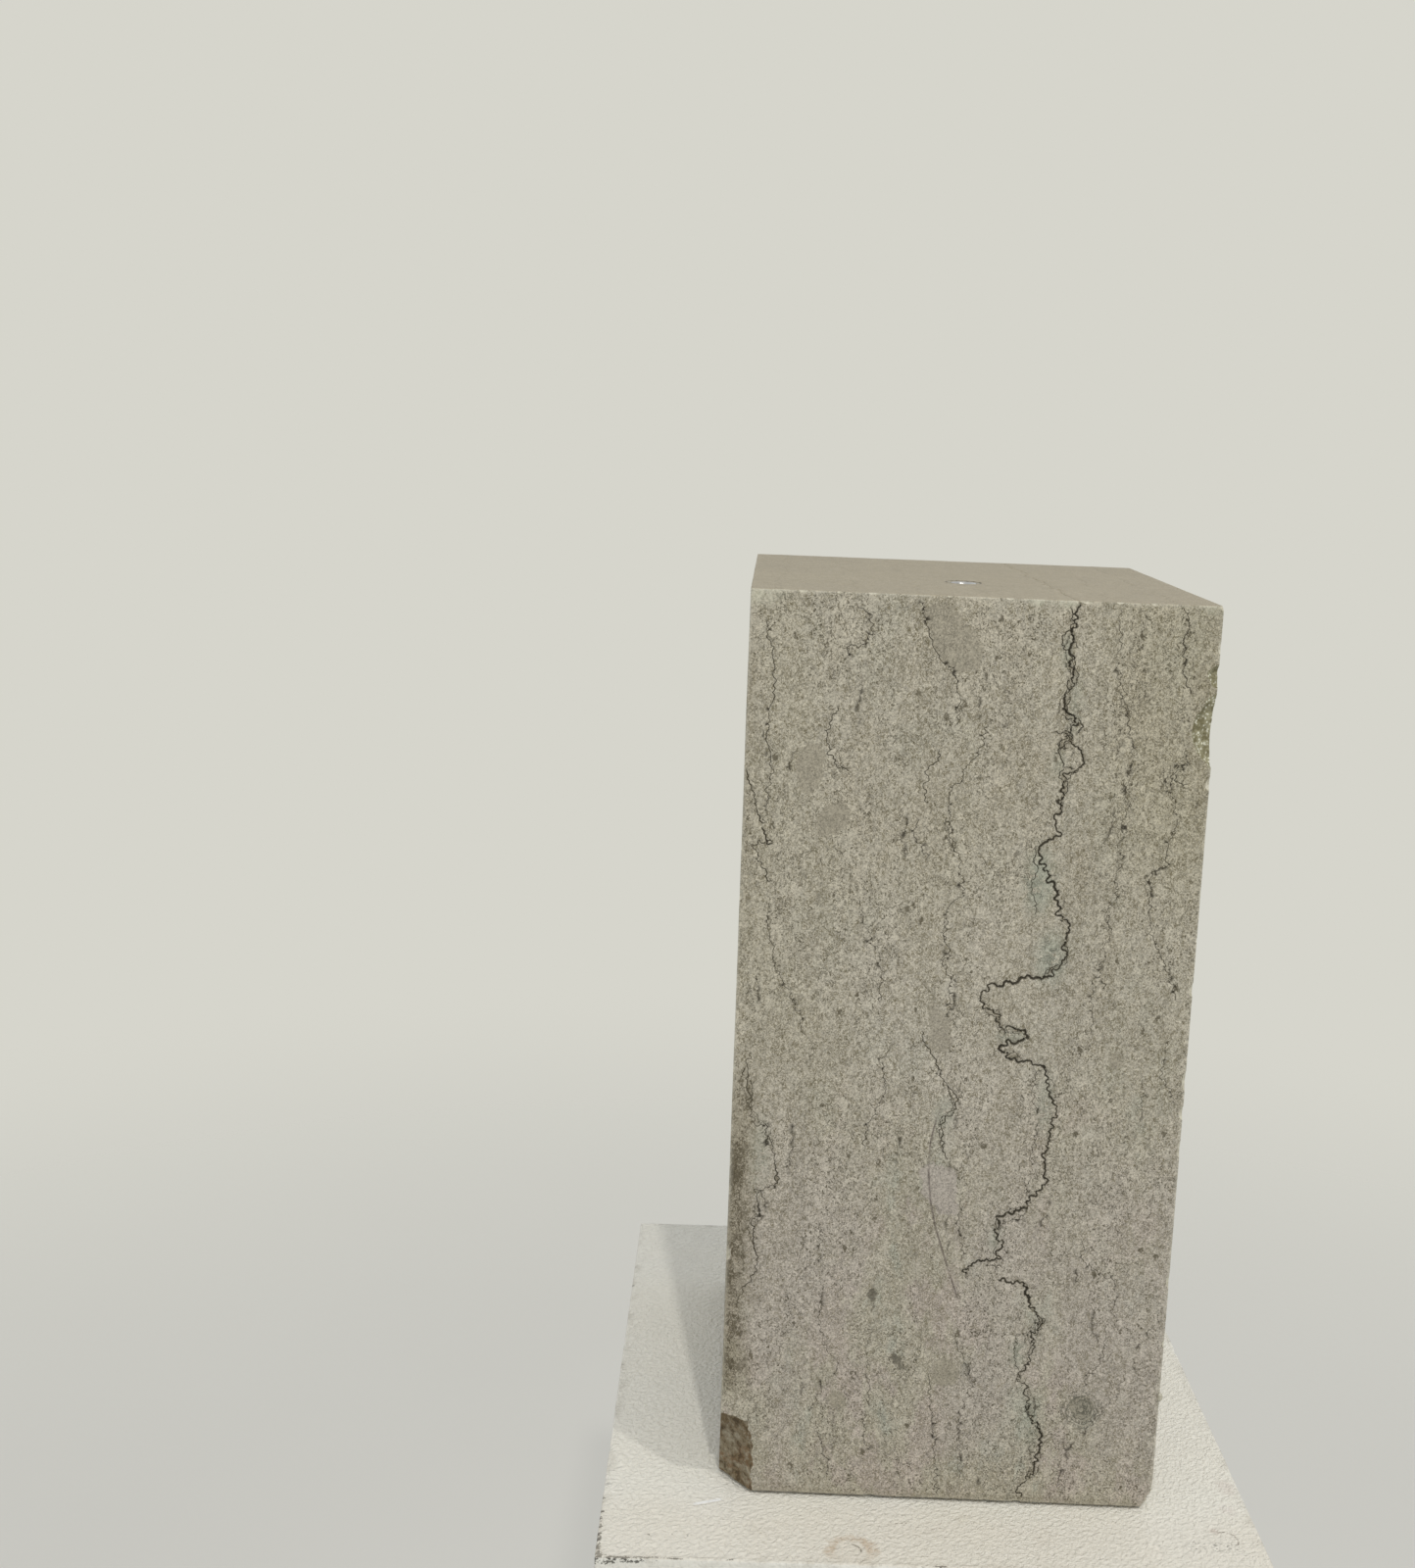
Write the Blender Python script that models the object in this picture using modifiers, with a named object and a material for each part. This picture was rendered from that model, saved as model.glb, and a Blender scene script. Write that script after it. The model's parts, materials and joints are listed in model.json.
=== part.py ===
"""Two-tier gallery display plinth, in metres, +Z up.

A square, white-painted MDF pedestal stands on four screw-in levelling feet.  A sawn limestone
block rests on it on four thin felt discs, and carries a threaded socket for the exhibit's stud.
The origin is on the floor, under the centre of the pedestal, and the front faces -Y.
"""

import math

import bpy
from mathutils import Matrix, Vector

# ---------------------------------------------------------------- driving dimensions
# Names ending in _R are radii, _T thicknesses, _L lengths, _H heights, _Z heights above the floor.
GAP = 0.0003  # glue line or seating gap between neighbouring solids
MITRE_GAP = GAP * 1.5  # clearance left on the side panels' mitres
CUTTER_LEAD = 0.0020  # how far a drilling cutter starts outside the face

PEDESTAL_W = 0.300  # square in plan
PEDESTAL_H = 1.000  # floor to the pedestal's top face
PANEL_T = 0.018  # MDF panels
SKIRT_Z = 0.010  # shadow gap under the side panels
HALF = PEDESTAL_W / 2
INNER = HALF - PANEL_T  # centre to the side panels' inner faces

# Corners seen from above: front/back, then left/right, with the signs of x and y.
CORNERS = {"fl": (-1, -1), "fr": (1, -1), "bl": (-1, 1), "br": (1, 1)}

# ---------------------------------------------------------------- scene and materials
for old in list(bpy.data.objects):
    bpy.data.objects.remove(old, do_unlink=True)

parts = bpy.data.collections.new("display_plinth")
cutters = bpy.data.collections.new("cutters")
bpy.context.scene.collection.children.link(parts)
bpy.context.scene.collection.children.link(cutters)


def material(name, colour, roughness, metallic=0.0):
    mat = bpy.data.materials.new(name)
    mat.use_nodes = True
    bsdf = mat.node_tree.nodes["Principled BSDF"]
    bsdf.inputs["Base Color"].default_value = (*colour, 1.0)
    bsdf.inputs["Roughness"].default_value = roughness
    bsdf.inputs["Metallic"].default_value = metallic
    return mat


PAINT = material("white_paint", colour=(0.78, 0.76, 0.70), roughness=0.60)
STONE = material("grey_limestone", colour=(0.34, 0.31, 0.27), roughness=0.75)
SOFTWOOD = material("softwood", colour=(0.62, 0.44, 0.25), roughness=0.70)
PLYWOOD = material("birch_plywood", colour=(0.66, 0.50, 0.32), roughness=0.65)
STEEL = material("zinc_plated_steel", colour=(0.62, 0.62, 0.60), roughness=0.35, metallic=1.0)
STAINLESS = material("stainless_steel", colour=(0.68, 0.67, 0.65), roughness=0.28, metallic=1.0)
DARK_STEEL = material("oxidised_steel", colour=(0.10, 0.08, 0.07), roughness=0.60, metallic=1.0)
NYLON = material("black_nylon", colour=(0.03, 0.03, 0.03), roughness=0.50)
FELT = material("grey_felt", colour=(0.20, 0.19, 0.18), roughness=0.95)
RESIN = material("anchor_resin", colour=(0.42, 0.38, 0.30), roughness=0.45)


# ---------------------------------------------------------------- shape helpers
def adopt(obj, name, mat, parent=None, collection=parts):
    """Names the object, gives it its material, and moves it to its collection."""
    obj.name = name
    obj.data.name = name
    for held in list(obj.users_collection):
        held.objects.unlink(obj)
    collection.objects.link(obj)
    if mat is not None:
        obj.data.materials.clear()
        obj.data.materials.append(mat)
    if parent is not None:
        obj.parent = parent
    return obj


def adopt_cutter(obj, name, parent=None, mat=None):
    """Adopts a boolean helper, kept out of renders."""
    obj.hide_render = True
    obj.display_type = "WIRE"
    return adopt(obj, name, mat, parent, cutters)


def aim(obj, direction):
    """Turns the object so that its own +Z runs along direction."""
    obj.rotation_mode = "QUATERNION"
    obj.rotation_quaternion = Vector((0, 0, 1)).rotation_difference(direction)


def new_cube(size):
    """A block of the given (x, y, z) size, with its origin at its centre."""
    bpy.ops.mesh.primitive_cube_add(size=1.0)
    obj = bpy.context.object
    obj.data.transform(Matrix.Diagonal((*size, 1.0)))
    return obj


def box(name, low, high, mat, parent=None):
    """A block between two corners.  Its origin is at its centre."""
    low, high = Vector(low), Vector(high)
    obj = new_cube(high - low)
    obj.location = (low + high) / 2
    return adopt(obj, name, mat, parent)


def cylinder_cutter(name, radius, start, end, sides):
    """A round cutter from start to end, both in world metres."""
    start, end = Vector(start), Vector(end)
    axis = end - start
    bpy.ops.mesh.primitive_cylinder_add(vertices=sides, radius=radius, depth=axis.length)
    obj = bpy.context.object
    aim(obj, axis)
    obj.location = (start + end) / 2
    return adopt_cutter(obj, name)


def cut(obj, cutter, operation="DIFFERENCE"):
    mod = obj.modifiers.new(cutter.name, "BOOLEAN")
    mod.operation = operation
    mod.solver = "EXACT"
    mod.object = cutter


def turned(name, profile, mat, steps=24, closed=False, location=(0, 0, 0), parent=None):
    """A turned piece: (radius, height) points swept round Z by a Screw modifier.

    A closed profile joins its last point to its first.
    """
    mesh = bpy.data.meshes.new(name)
    edges = [(i, i + 1) for i in range(len(profile) - 1)]
    if closed:
        edges.append((len(profile) - 1, 0))
    mesh.from_pydata([(radius, 0.0, z) for radius, z in profile], edges, [])
    obj = bpy.data.objects.new(name, mesh)
    mod = obj.modifiers.new("turn", "SCREW")
    mod.axis = "Z"
    mod.angle = math.tau
    mod.steps = mod.render_steps = steps
    mod.use_merge_vertices = True
    mod.merge_threshold = 0.00001
    mod.use_smooth_shade = True
    obj.location = location
    return adopt(obj, name, mat, parent)


def plate(name, outline, holes, low_z, thickness):
    """A plywood board: a 2D outline with round holes (x, y, radius, sides), extruded upward."""
    curve = bpy.data.curves.new(name, "CURVE")
    curve.dimensions = "2D"
    curve.fill_mode = "BOTH"
    curve.extrude = thickness / 2
    rings = [outline]
    for x, y, radius, sides in holes:
        angles = [math.tau * i / sides for i in range(sides)]
        rings.append([(x + radius * math.cos(a), y + radius * math.sin(a)) for a in angles])
    for ring in rings:
        spline = curve.splines.new("POLY")
        spline.points.add(len(ring) - 1)
        for point, (x, y) in zip(spline.points, ring):
            point.co = (x, y, 0.0, 1.0)
        spline.use_cyclic_u = True
    obj = bpy.data.objects.new(name, curve)
    obj.location = (0, 0, low_z + thickness / 2)
    return adopt(obj, name, PLYWOOD)


# ---------------------------------------------------------------- wood screws
SCREW_R, SCREW_HEAD_R, SCREW_HEAD_H = 0.0020, 0.0040, 0.0025
SCREW_POINT_L = 0.0060  # tapered end of the shank
SCREW_TIP_L = 0.0035  # blunter last part of the taper
PILOT_SIDES = 16


def wood_screw(name, x, y, head_z, tip_z):
    """A pan-head screw pointing up, with its head below head_z."""
    profile = [
        (0.0, tip_z),
        (SCREW_R * 0.55, tip_z - SCREW_TIP_L),
        (SCREW_R, tip_z - SCREW_POINT_L),
        (SCREW_R, head_z),
        (SCREW_HEAD_R, head_z),
        (SCREW_HEAD_R * 0.92, head_z - SCREW_HEAD_H * 0.55),
        (SCREW_HEAD_R * 0.60, head_z - SCREW_HEAD_H),
        (0.0, head_z - SCREW_HEAD_H),
    ]
    return turned(name, profile, STEEL, steps=16, location=(x, y, 0))


def pilot_cutter(name, x, y, face_z, tip_z):
    """The hole for a wood screw that enters upward through face_z."""
    start, end = (x, y, face_z - CUTTER_LEAD), (x, y, tip_z + GAP)
    return cylinder_cutter(name, SCREW_R + GAP, start, end, PILOT_SIDES)


# ---------------------------------------------------------------- pedestal panels
def make_top_panel():
    """The top panel, mitred on all four edges, so its underside is smaller than its face."""
    low, high = (-HALF, -HALF, PEDESTAL_H - PANEL_T), (HALF, HALF, PEDESTAL_H)
    obj = box("top_panel", low, high, PAINT)
    for vert in obj.data.vertices:
        if vert.co.z < 0:
            vert.co.x *= INNER / HALF
            vert.co.y *= INNER / HALF
    return obj


def side_panel(name, angle):
    """A side panel, mitred to its two neighbours and to the top, made at the front and turned.

    Its origin is the plinth's own.
    """
    outer_half, inner_half = HALF - MITRE_GAP, INNER - MITRE_GAP
    low, high = (-outer_half, -HALF, SKIRT_Z), (outer_half, -INNER, PEDESTAL_H - MITRE_GAP)
    obj = box(name, low, high, PAINT)
    for vert in obj.data.vertices:
        if vert.co.y > 0:
            vert.co.x *= inner_half / outer_half
            if vert.co.z > 0:
                vert.co.z -= PANEL_T
    obj.data.transform(Matrix.Translation(obj.location))
    obj.location = (0, 0, 0)
    obj.rotation_euler = (0, 0, angle)
    return obj


BRAD_R, BRAD_HEAD_R, BRAD_L = 0.0008, 0.0013, 0.028
BRAD_HEAD_T = 0.0008
BRAD_NECK_L = 0.0002  # taper from shank to head
BRAD_POINT_L = 0.0020
BRAD_X = 0.0645  # from the centre of each side
BRAD_Z = PEDESTAL_H - 0.0040
BRAD_SET = 0.0010  # head punched below the face
BRAD_HOLE_EXTRA = 0.0010  # hole runs on past the point
BRAD_TIP_Y = -HALF + BRAD_SET + BRAD_L  # on the front side, before turning


def make_brad(name, x, spin, side):
    """A headed brad driven level through a side panel into the top panel, with its hole."""
    hole = cylinder_cutter(
        "hole_" + name,
        BRAD_HEAD_R + GAP,
        spin @ Vector((x, -HALF - CUTTER_LEAD, BRAD_Z)),
        spin @ Vector((x, BRAD_TIP_Y + BRAD_HOLE_EXTRA, BRAD_Z)),
        sides=12,
    )
    cut(side, hole)
    cut(top_panel, hole)
    profile = [
        (0.0, 0.0),
        (BRAD_R, -BRAD_POINT_L),
        (BRAD_R, -BRAD_L + BRAD_HEAD_T + BRAD_NECK_L),
        (BRAD_HEAD_R, -BRAD_L + BRAD_HEAD_T),
        (BRAD_HEAD_R, -BRAD_L),
        (0.0, -BRAD_L),
    ]
    brad = turned(name, profile, DARK_STEEL, steps=10)
    # The point leads along the brad's own +Z, which is aimed inward.
    aim(brad, spin.to_3x3() @ Vector((0, 1, 0)))
    brad.location = spin @ Vector((x, BRAD_TIP_Y, BRAD_Z))


# Side, its turn from the front in degrees, and the ends where its brads at -x and +x land.
SIDES = [("front", 0, "lr"), ("right", 90, "fb"), ("back", 180, "rl"), ("left", -90, "bf")]

top_panel = make_top_panel()
for side_name, degrees, ends in SIDES:
    panel = side_panel(side_name + "_panel", math.radians(degrees))
    side_spin = Matrix.Rotation(math.radians(degrees), 4, "Z")
    for end_name, brad_x in zip(ends, (-BRAD_X, BRAD_X)):
        make_brad(f"brad_{side_name}_{end_name}", brad_x, side_spin, panel)

# ---------------------------------------------------------------- pedestal carcass
BATTEN_W = 0.025  # square softwood corner battens
CLEAT_W = 0.020  # square softwood cleats under the top panel
CLEAT_SCREW_L = 0.0300
BASE_Z = 0.0235  # underside of the base board, just above the wound-in feet
BASE_T = 0.018
BASE_HOLE_R = 0.045  # hand hole in the base board
BASE_SCREW_L = 0.0380
BRACE_Z = 0.500
BRACE_T = 0.012
BRACE_HOLE_R = 0.050
BIG_HOLE_SIDES, SMALL_HOLE_SIDES = 32, 16

FOOT_XY = 0.095  # levelling feet, from the centre
TEE_BARREL_R = 0.0062

REACH = INNER - GAP  # centre to the carcass's outer faces
BATTEN_IN = REACH - BATTEN_W
BATTEN_MID = REACH - BATTEN_W / 2
CLEAT_IN = REACH - CLEAT_W
CLEAT_MID = REACH - CLEAT_W / 2
CLEAT_TOP_Z = PEDESTAL_H - PANEL_T - GAP
CLEAT_LOW_Z = CLEAT_TOP_Z - CLEAT_W
BASE_TOP_Z = BASE_Z + BASE_T


def make_batten(corner, sign_x, sign_y):
    """A corner batten and the screw that holds the base board to it."""
    low_x, high_x = sorted((sign_x * BATTEN_IN, sign_x * REACH))
    low_y, high_y = sorted((sign_y * BATTEN_IN, sign_y * REACH))
    low, high = (low_x, low_y, BASE_TOP_Z + GAP), (high_x, high_y, CLEAT_LOW_Z - GAP)
    batten = box("corner_batten_" + corner, low, high, SOFTWOOD)
    x, y = sign_x * BATTEN_MID, sign_y * BATTEN_MID
    tip_z = BASE_Z + BASE_SCREW_L
    cut(batten, pilot_cutter("pilot_base_" + corner, x, y, BASE_TOP_Z, tip_z))
    wood_screw("base_screw_" + corner, x, y, BASE_Z - GAP, tip_z)


def make_cleat(side, low, high, middle):
    """A cleat between two (x, y) corners, and the screw up through its middle to the top."""
    cleat = box("top_cleat_" + side, (*low, CLEAT_LOW_Z), (*high, CLEAT_TOP_Z), SOFTWOOD)
    tip_z = CLEAT_LOW_Z + CLEAT_SCREW_L
    hole = pilot_cutter("pilot_cleat_" + side, *middle, CLEAT_LOW_Z, tip_z)
    cut(cleat, hole)
    cut(top_panel, hole)
    wood_screw("cleat_screw_" + side, *middle, CLEAT_LOW_Z - GAP, tip_z)


def make_mid_brace():
    """A brace halfway up, notched round the battens, which keeps the tall panels flat."""
    notch = BATTEN_IN - GAP
    outline = [
        (-notch, -REACH), (notch, -REACH), (notch, -notch), (REACH, -notch),
        (REACH, notch), (notch, notch), (notch, REACH), (-notch, REACH),
        (-notch, notch), (-REACH, notch), (-REACH, -notch), (-notch, -notch),
    ]
    plate("mid_brace", outline, [(0, 0, BRACE_HOLE_R, BIG_HOLE_SIDES)], BRACE_Z, BRACE_T)


def make_base_board():
    """The base board, with its hand hole, tee nut seats and screw clearance holes."""
    holes = [(0, 0, BASE_HOLE_R, BIG_HOLE_SIDES)]
    for sign_x, sign_y in CORNERS.values():
        for offset, radius in ((FOOT_XY, TEE_BARREL_R + GAP), (BATTEN_MID, SCREW_R + GAP)):
            holes.append((sign_x * offset, sign_y * offset, radius, SMALL_HOLE_SIDES))
    outline = [(-REACH, -REACH), (REACH, -REACH), (REACH, REACH), (-REACH, REACH)]
    plate("base_board", outline, holes, BASE_Z, BASE_T)


for key, signs in CORNERS.items():
    make_batten(key, *signs)

# The front and back cleats run full width, and the left and right ones fit between them.
SHORT_END = CLEAT_IN - GAP
make_cleat("front", (-REACH, -REACH), (REACH, -CLEAT_IN), middle=(0, -CLEAT_MID))
make_cleat("back", (-REACH, CLEAT_IN), (REACH, REACH), middle=(0, CLEAT_MID))
make_cleat("left", (-REACH, -SHORT_END), (-CLEAT_IN, SHORT_END), middle=(-CLEAT_MID, 0))
make_cleat("right", (CLEAT_IN, -SHORT_END), (REACH, SHORT_END), middle=(CLEAT_MID, 0))
make_mid_brace()
make_base_board()

# ---------------------------------------------------------------- levelling feet
TEE_BORE_R, TEE_FLANGE_R = 0.0052, 0.0120
TEE_FLANGE_T, TEE_BARREL_L = 0.0015, 0.0120

THREAD_R = 0.0050  # M10 x 1.5
STEM_TOP_Z = 0.070
STEM_CHAMFER = 0.0010
NECK_R = 0.0035
SWIVEL_R, SWIVEL_LOW_Z, SWIVEL_TOP_Z = 0.0065, 0.0045, 0.0090  # swivel head held in the pad
HEX_FLATS, HEX_LOW_Z, HEX_TOP_Z = 0.014, 0.0150, 0.0210
NECK_TOP_Z = HEX_LOW_Z + 0.0010  # the stem's thread starts inside the hexagon

# Outside of the pad, from its crown down to the floor: (radius, height).
PAD_OUTLINE = [
    (0.0098, 0.0140), (0.0108, 0.0130), (0.0125, 0.0065), (0.0190, 0.0040),
    (0.0200, 0.0030), (0.0200, 0.0006), (0.0194, 0.0),
]
PAD_TOP_Z = PAD_OUTLINE[0][1]


def make_tee_nut(name, location):
    """A tee nut, with its flange under the base board and its barrel in it."""
    flange_top = BASE_Z - GAP
    profile = [
        (TEE_BARREL_R, flange_top + TEE_BARREL_L),
        (TEE_BARREL_R, flange_top),
        (TEE_FLANGE_R, flange_top),
        (TEE_FLANGE_R, flange_top - TEE_FLANGE_T),
        (TEE_BORE_R, flange_top - TEE_FLANGE_T),
        (TEE_BORE_R, flange_top + TEE_BARREL_L),
    ]
    turned(name, profile, STEEL, closed=True, location=location)


def make_stem(corner, x, y):
    """A stem: threaded length, neck and swivel head, with a hexagon joined on."""
    profile = [
        (0.0, STEM_TOP_Z),
        (THREAD_R - STEM_CHAMFER, STEM_TOP_Z),
        (THREAD_R, STEM_TOP_Z - STEM_CHAMFER),
        (THREAD_R, NECK_TOP_Z),
        (NECK_R, NECK_TOP_Z),
        (NECK_R, SWIVEL_TOP_Z),
        (SWIVEL_R, SWIVEL_TOP_Z),
        (SWIVEL_R, SWIVEL_LOW_Z),
        (0.0, SWIVEL_LOW_Z),
    ]
    stem = turned("leveller_stem_" + corner, profile, STEEL, steps=20, location=(x, y, 0))
    bpy.ops.mesh.primitive_cylinder_add(
        vertices=6,
        radius=HEX_FLATS / 2 / math.cos(math.pi / 6),
        depth=HEX_TOP_Z - HEX_LOW_Z,
        location=(x, y, (HEX_LOW_Z + HEX_TOP_Z) / 2),
    )
    collar = adopt_cutter(bpy.context.object, "hex_collar_" + corner, mat=STEEL)
    cut(stem, collar, "UNION")


def make_pad(name, location):
    """A nylon pad moulded round the swivel head, which turns in it."""
    pocket = [
        (0.0, SWIVEL_LOW_Z - GAP),
        (SWIVEL_R + GAP, SWIVEL_LOW_Z - GAP),
        (SWIVEL_R + GAP, SWIVEL_TOP_Z + GAP),
        (NECK_R + GAP, SWIVEL_TOP_Z + GAP),
        (NECK_R + GAP, PAD_TOP_Z),
    ]
    turned(name, pocket + PAD_OUTLINE + [(0.0, 0.0)], NYLON, location=location)


for key, (x_sign, y_sign) in CORNERS.items():
    foot_x, foot_y = x_sign * FOOT_XY, y_sign * FOOT_XY
    make_tee_nut("tee_nut_" + key, (foot_x, foot_y, 0))
    make_stem(key, foot_x, foot_y)
    make_pad("leveller_pad_" + key, (foot_x, foot_y, 0))

# ---------------------------------------------------------------- stone tier
# Heights in this section are above the block's underside, unless named otherwise.
STONE_W = 0.201  # left to right
STONE_D = 0.188  # front to back
STONE_H = 0.420
STONE_ARRIS = 0.0010
STONE_X, STONE_Y = 0.005, -0.012  # the block isn't quite centred on the pedestal
STONE_TURN = math.radians(-1.08)  # nor quite square to it
RIGHT, FRONT = STONE_W / 2, -STONE_D / 2  # faces of the block, in the tier's frame

FELT_R, FELT_T = 0.0125, 0.0008
FELT_INSET = 0.034  # disc centres, from the block's faces

# Cutter for the broken front-left foot.
BREAK_SIZE = (0.060, 0.030, 0.060)
BREAK_TILT = (math.radians(4), math.radians(24.5))  # about X and Y
BREAK_TURN = math.radians(39.8)  # clockwise from above
BREAK_POINT = Vector((-RIGHT + 0.0084, FRONT + 0.0070, 0.0042))  # near the broken face's middle

FLAKE_SIZE = 0.030
FLAKE_POINT = Vector((RIGHT - 0.0050, FRONT, 0.0))
FLAKE_NORMAL = Vector((0.80, -0.42, -0.36))

SPALL_CENTRE = (RIGHT + 0.0030, FRONT - 0.0022, 0.3698)
SPALL_RADII = (0.0125, 0.0062, 0.0168)

SOCKET_X, SOCKET_Y = -0.003, -0.030  # under the exhibit, in front of the block's centre
SOCKET_R, SOCKET_BORE_R, SOCKET_L = 0.0060, 0.0034, 0.040  # M8 thread inside
SOCKET_FLOOR_T = 0.0040
BORE_CONE_H = 0.0020  # drill-point cone at the bottom of the bore
BORE_CHAMFER = 0.0008
RESIN_R, RESIN_L = 0.0078, 0.043
SOCKET_FACE = STONE_H - 0.0002  # just under the stone's top face
HOLE_OVERRUN = 0.010  # socket hole cutter above the stone


def make_tier():
    """The empty that carries the stone and its fittings."""
    empty = bpy.data.objects.new("stone_tier", None)
    parts.objects.link(empty)
    empty.location = (STONE_X, STONE_Y, PEDESTAL_H + GAP + FELT_T + GAP)
    empty.rotation_euler = (0, 0, STONE_TURN)
    return empty


def make_block():
    """The limestone block, with its sawn arrises slightly bevelled."""
    low, high = (-RIGHT, FRONT, 0), (RIGHT, -FRONT, STONE_H)
    obj = box("stone_block", low, high, STONE, tier)
    arris = obj.modifiers.new("arris", "BEVEL")
    arris.width = STONE_ARRIS
    arris.segments = 1
    arris.limit_method = "ANGLE"
    return obj


def break_foot():
    """The steep old fracture across the front-left foot."""
    obj = new_cube(BREAK_SIZE)
    obj.rotation_euler = (*BREAK_TILT, -BREAK_TURN)
    outward = Vector((-math.sin(BREAK_TURN), -math.cos(BREAK_TURN), 0.0))
    obj.location = BREAK_POINT + outward * BREAK_SIZE[1] / 2
    cut(block, adopt_cutter(obj, "broken_foot", tier))


def lose_flake():
    """The small flake lost from the front-right foot: a cube whose near face cuts it off."""
    normal = FLAKE_NORMAL.normalized()
    obj = new_cube((FLAKE_SIZE, FLAKE_SIZE, FLAKE_SIZE))
    aim(obj, normal)
    obj.location = FLAKE_POINT + normal * FLAKE_SIZE / 2
    cut(block, adopt_cutter(obj, "lost_flake", tier))


def spall_arris():
    """The shallow, shell-shaped chip near the top of the front-right arris."""
    bpy.ops.mesh.primitive_ico_sphere_add(subdivisions=2, radius=1.0)
    obj = bpy.context.object
    obj.data.transform(Matrix.Diagonal((*SPALL_RADII, 1.0)))
    obj.location = SPALL_CENTRE
    cut(block, adopt_cutter(obj, "arris_spall", tier))


def drill_socket_hole():
    """The hole for the resin and socket.  Its cutter is placed in world space."""
    place = Matrix.Translation(tier.location) @ Matrix.Rotation(STONE_TURN, 4, "Z")
    hole = cylinder_cutter(
        "socket_hole",
        RESIN_R + GAP,
        place @ Vector((SOCKET_X, SOCKET_Y, STONE_H - RESIN_L - GAP)),
        place @ Vector((SOCKET_X, SOCKET_Y, STONE_H + HOLE_OVERRUN)),
        sides=24,
    )
    cut(block, hole)


def make_socket():
    """The resin sleeve and its stainless threaded socket."""
    location = (SOCKET_X, SOCKET_Y, 0)
    sleeve_r = SOCKET_R + GAP
    sleeve_low, sleeve_floor = STONE_H - RESIN_L, STONE_H - SOCKET_L - GAP * 2
    resin = [
        (RESIN_R, SOCKET_FACE),
        (RESIN_R, sleeve_low),
        (0.0, sleeve_low),
        (0.0, sleeve_floor),
        (sleeve_r, sleeve_floor),
        (sleeve_r, SOCKET_FACE),
    ]
    turned("socket_resin", resin, RESIN, closed=True, location=location, parent=tier)
    socket_low = STONE_H - SOCKET_L
    socket = [
        (SOCKET_R, SOCKET_FACE),
        (SOCKET_R, socket_low),
        (0.0, socket_low),
        (0.0, socket_low + SOCKET_FLOOR_T),
        (SOCKET_BORE_R, socket_low + SOCKET_FLOOR_T + BORE_CONE_H),
        (SOCKET_BORE_R, SOCKET_FACE - BORE_CHAMFER),
        (SOCKET_BORE_R + BORE_CHAMFER, SOCKET_FACE),
    ]
    turned("fixing_socket", socket, STAINLESS, closed=True, location=location, parent=tier)


def make_felt_pad(corner, sign_x, sign_y):
    """A felt disc under the block, set in from a corner."""
    location = (sign_x * (STONE_W / 2 - FELT_INSET), sign_y * (STONE_D / 2 - FELT_INSET), 0)
    low = -GAP - FELT_T
    disc = [(0.0, -GAP), (FELT_R, -GAP), (FELT_R, low), (0.0, low)]
    turned("felt_pad_" + corner, disc, FELT, location=location, parent=tier)


tier = make_tier()
block = make_block()
break_foot()
lose_flake()
spall_arris()
drill_socket_hole()
make_socket()
for key, signs in CORNERS.items():
    make_felt_pad(key, *signs)
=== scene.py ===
import json
import math
import random

import bmesh
import bpy
import numpy as np
from mathutils import Matrix, Vector
from mathutils.geometry import delaunay_2d_cdt
from mathutils.kdtree import KDTree

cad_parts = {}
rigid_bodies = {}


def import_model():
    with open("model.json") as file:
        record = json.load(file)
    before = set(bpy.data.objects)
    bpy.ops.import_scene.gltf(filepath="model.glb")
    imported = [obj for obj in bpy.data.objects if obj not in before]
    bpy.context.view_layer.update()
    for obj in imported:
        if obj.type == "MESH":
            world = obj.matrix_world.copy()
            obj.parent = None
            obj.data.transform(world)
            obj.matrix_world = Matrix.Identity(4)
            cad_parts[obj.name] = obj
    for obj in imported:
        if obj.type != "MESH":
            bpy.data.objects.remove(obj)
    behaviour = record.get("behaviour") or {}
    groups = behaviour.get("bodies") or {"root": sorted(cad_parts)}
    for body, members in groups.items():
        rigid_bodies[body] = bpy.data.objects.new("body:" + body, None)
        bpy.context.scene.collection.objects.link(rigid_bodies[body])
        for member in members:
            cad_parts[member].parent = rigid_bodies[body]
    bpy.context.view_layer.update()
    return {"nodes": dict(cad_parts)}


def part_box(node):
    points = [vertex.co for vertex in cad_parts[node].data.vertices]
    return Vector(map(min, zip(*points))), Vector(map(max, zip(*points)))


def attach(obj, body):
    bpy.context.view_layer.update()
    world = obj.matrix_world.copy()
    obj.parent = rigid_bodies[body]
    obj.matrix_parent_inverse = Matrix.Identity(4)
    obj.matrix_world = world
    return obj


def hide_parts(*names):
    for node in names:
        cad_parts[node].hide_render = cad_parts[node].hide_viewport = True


# Looks of the two-tier gallery display plinth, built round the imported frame.  Metres, +Z up.
# A painted MDF pedestal on levelling feet carries a sawn block of stylolitic limestone.

for old in list(bpy.data.objects):
    bpy.data.objects.remove(old, do_unlink=True)

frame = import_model()
MM = 0.001
CORNERS = {"fl": (-1, -1), "fr": (1, -1), "bl": (-1, 1), "br": (1, 1)}

# The stone block stands a degree or so off square; its own frame has its foot at z = 0.
lo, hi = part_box("stone_block")
W, D, H = 0.201, 0.188, hi.z - lo.z
TURN = math.radians(-1.08)
STONE_AT = Matrix.Translation(((lo.x + hi.x) / 2, (lo.y + hi.y) / 2, lo.z)) @ Matrix.Rotation(TURN, 4, "Z")


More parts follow.
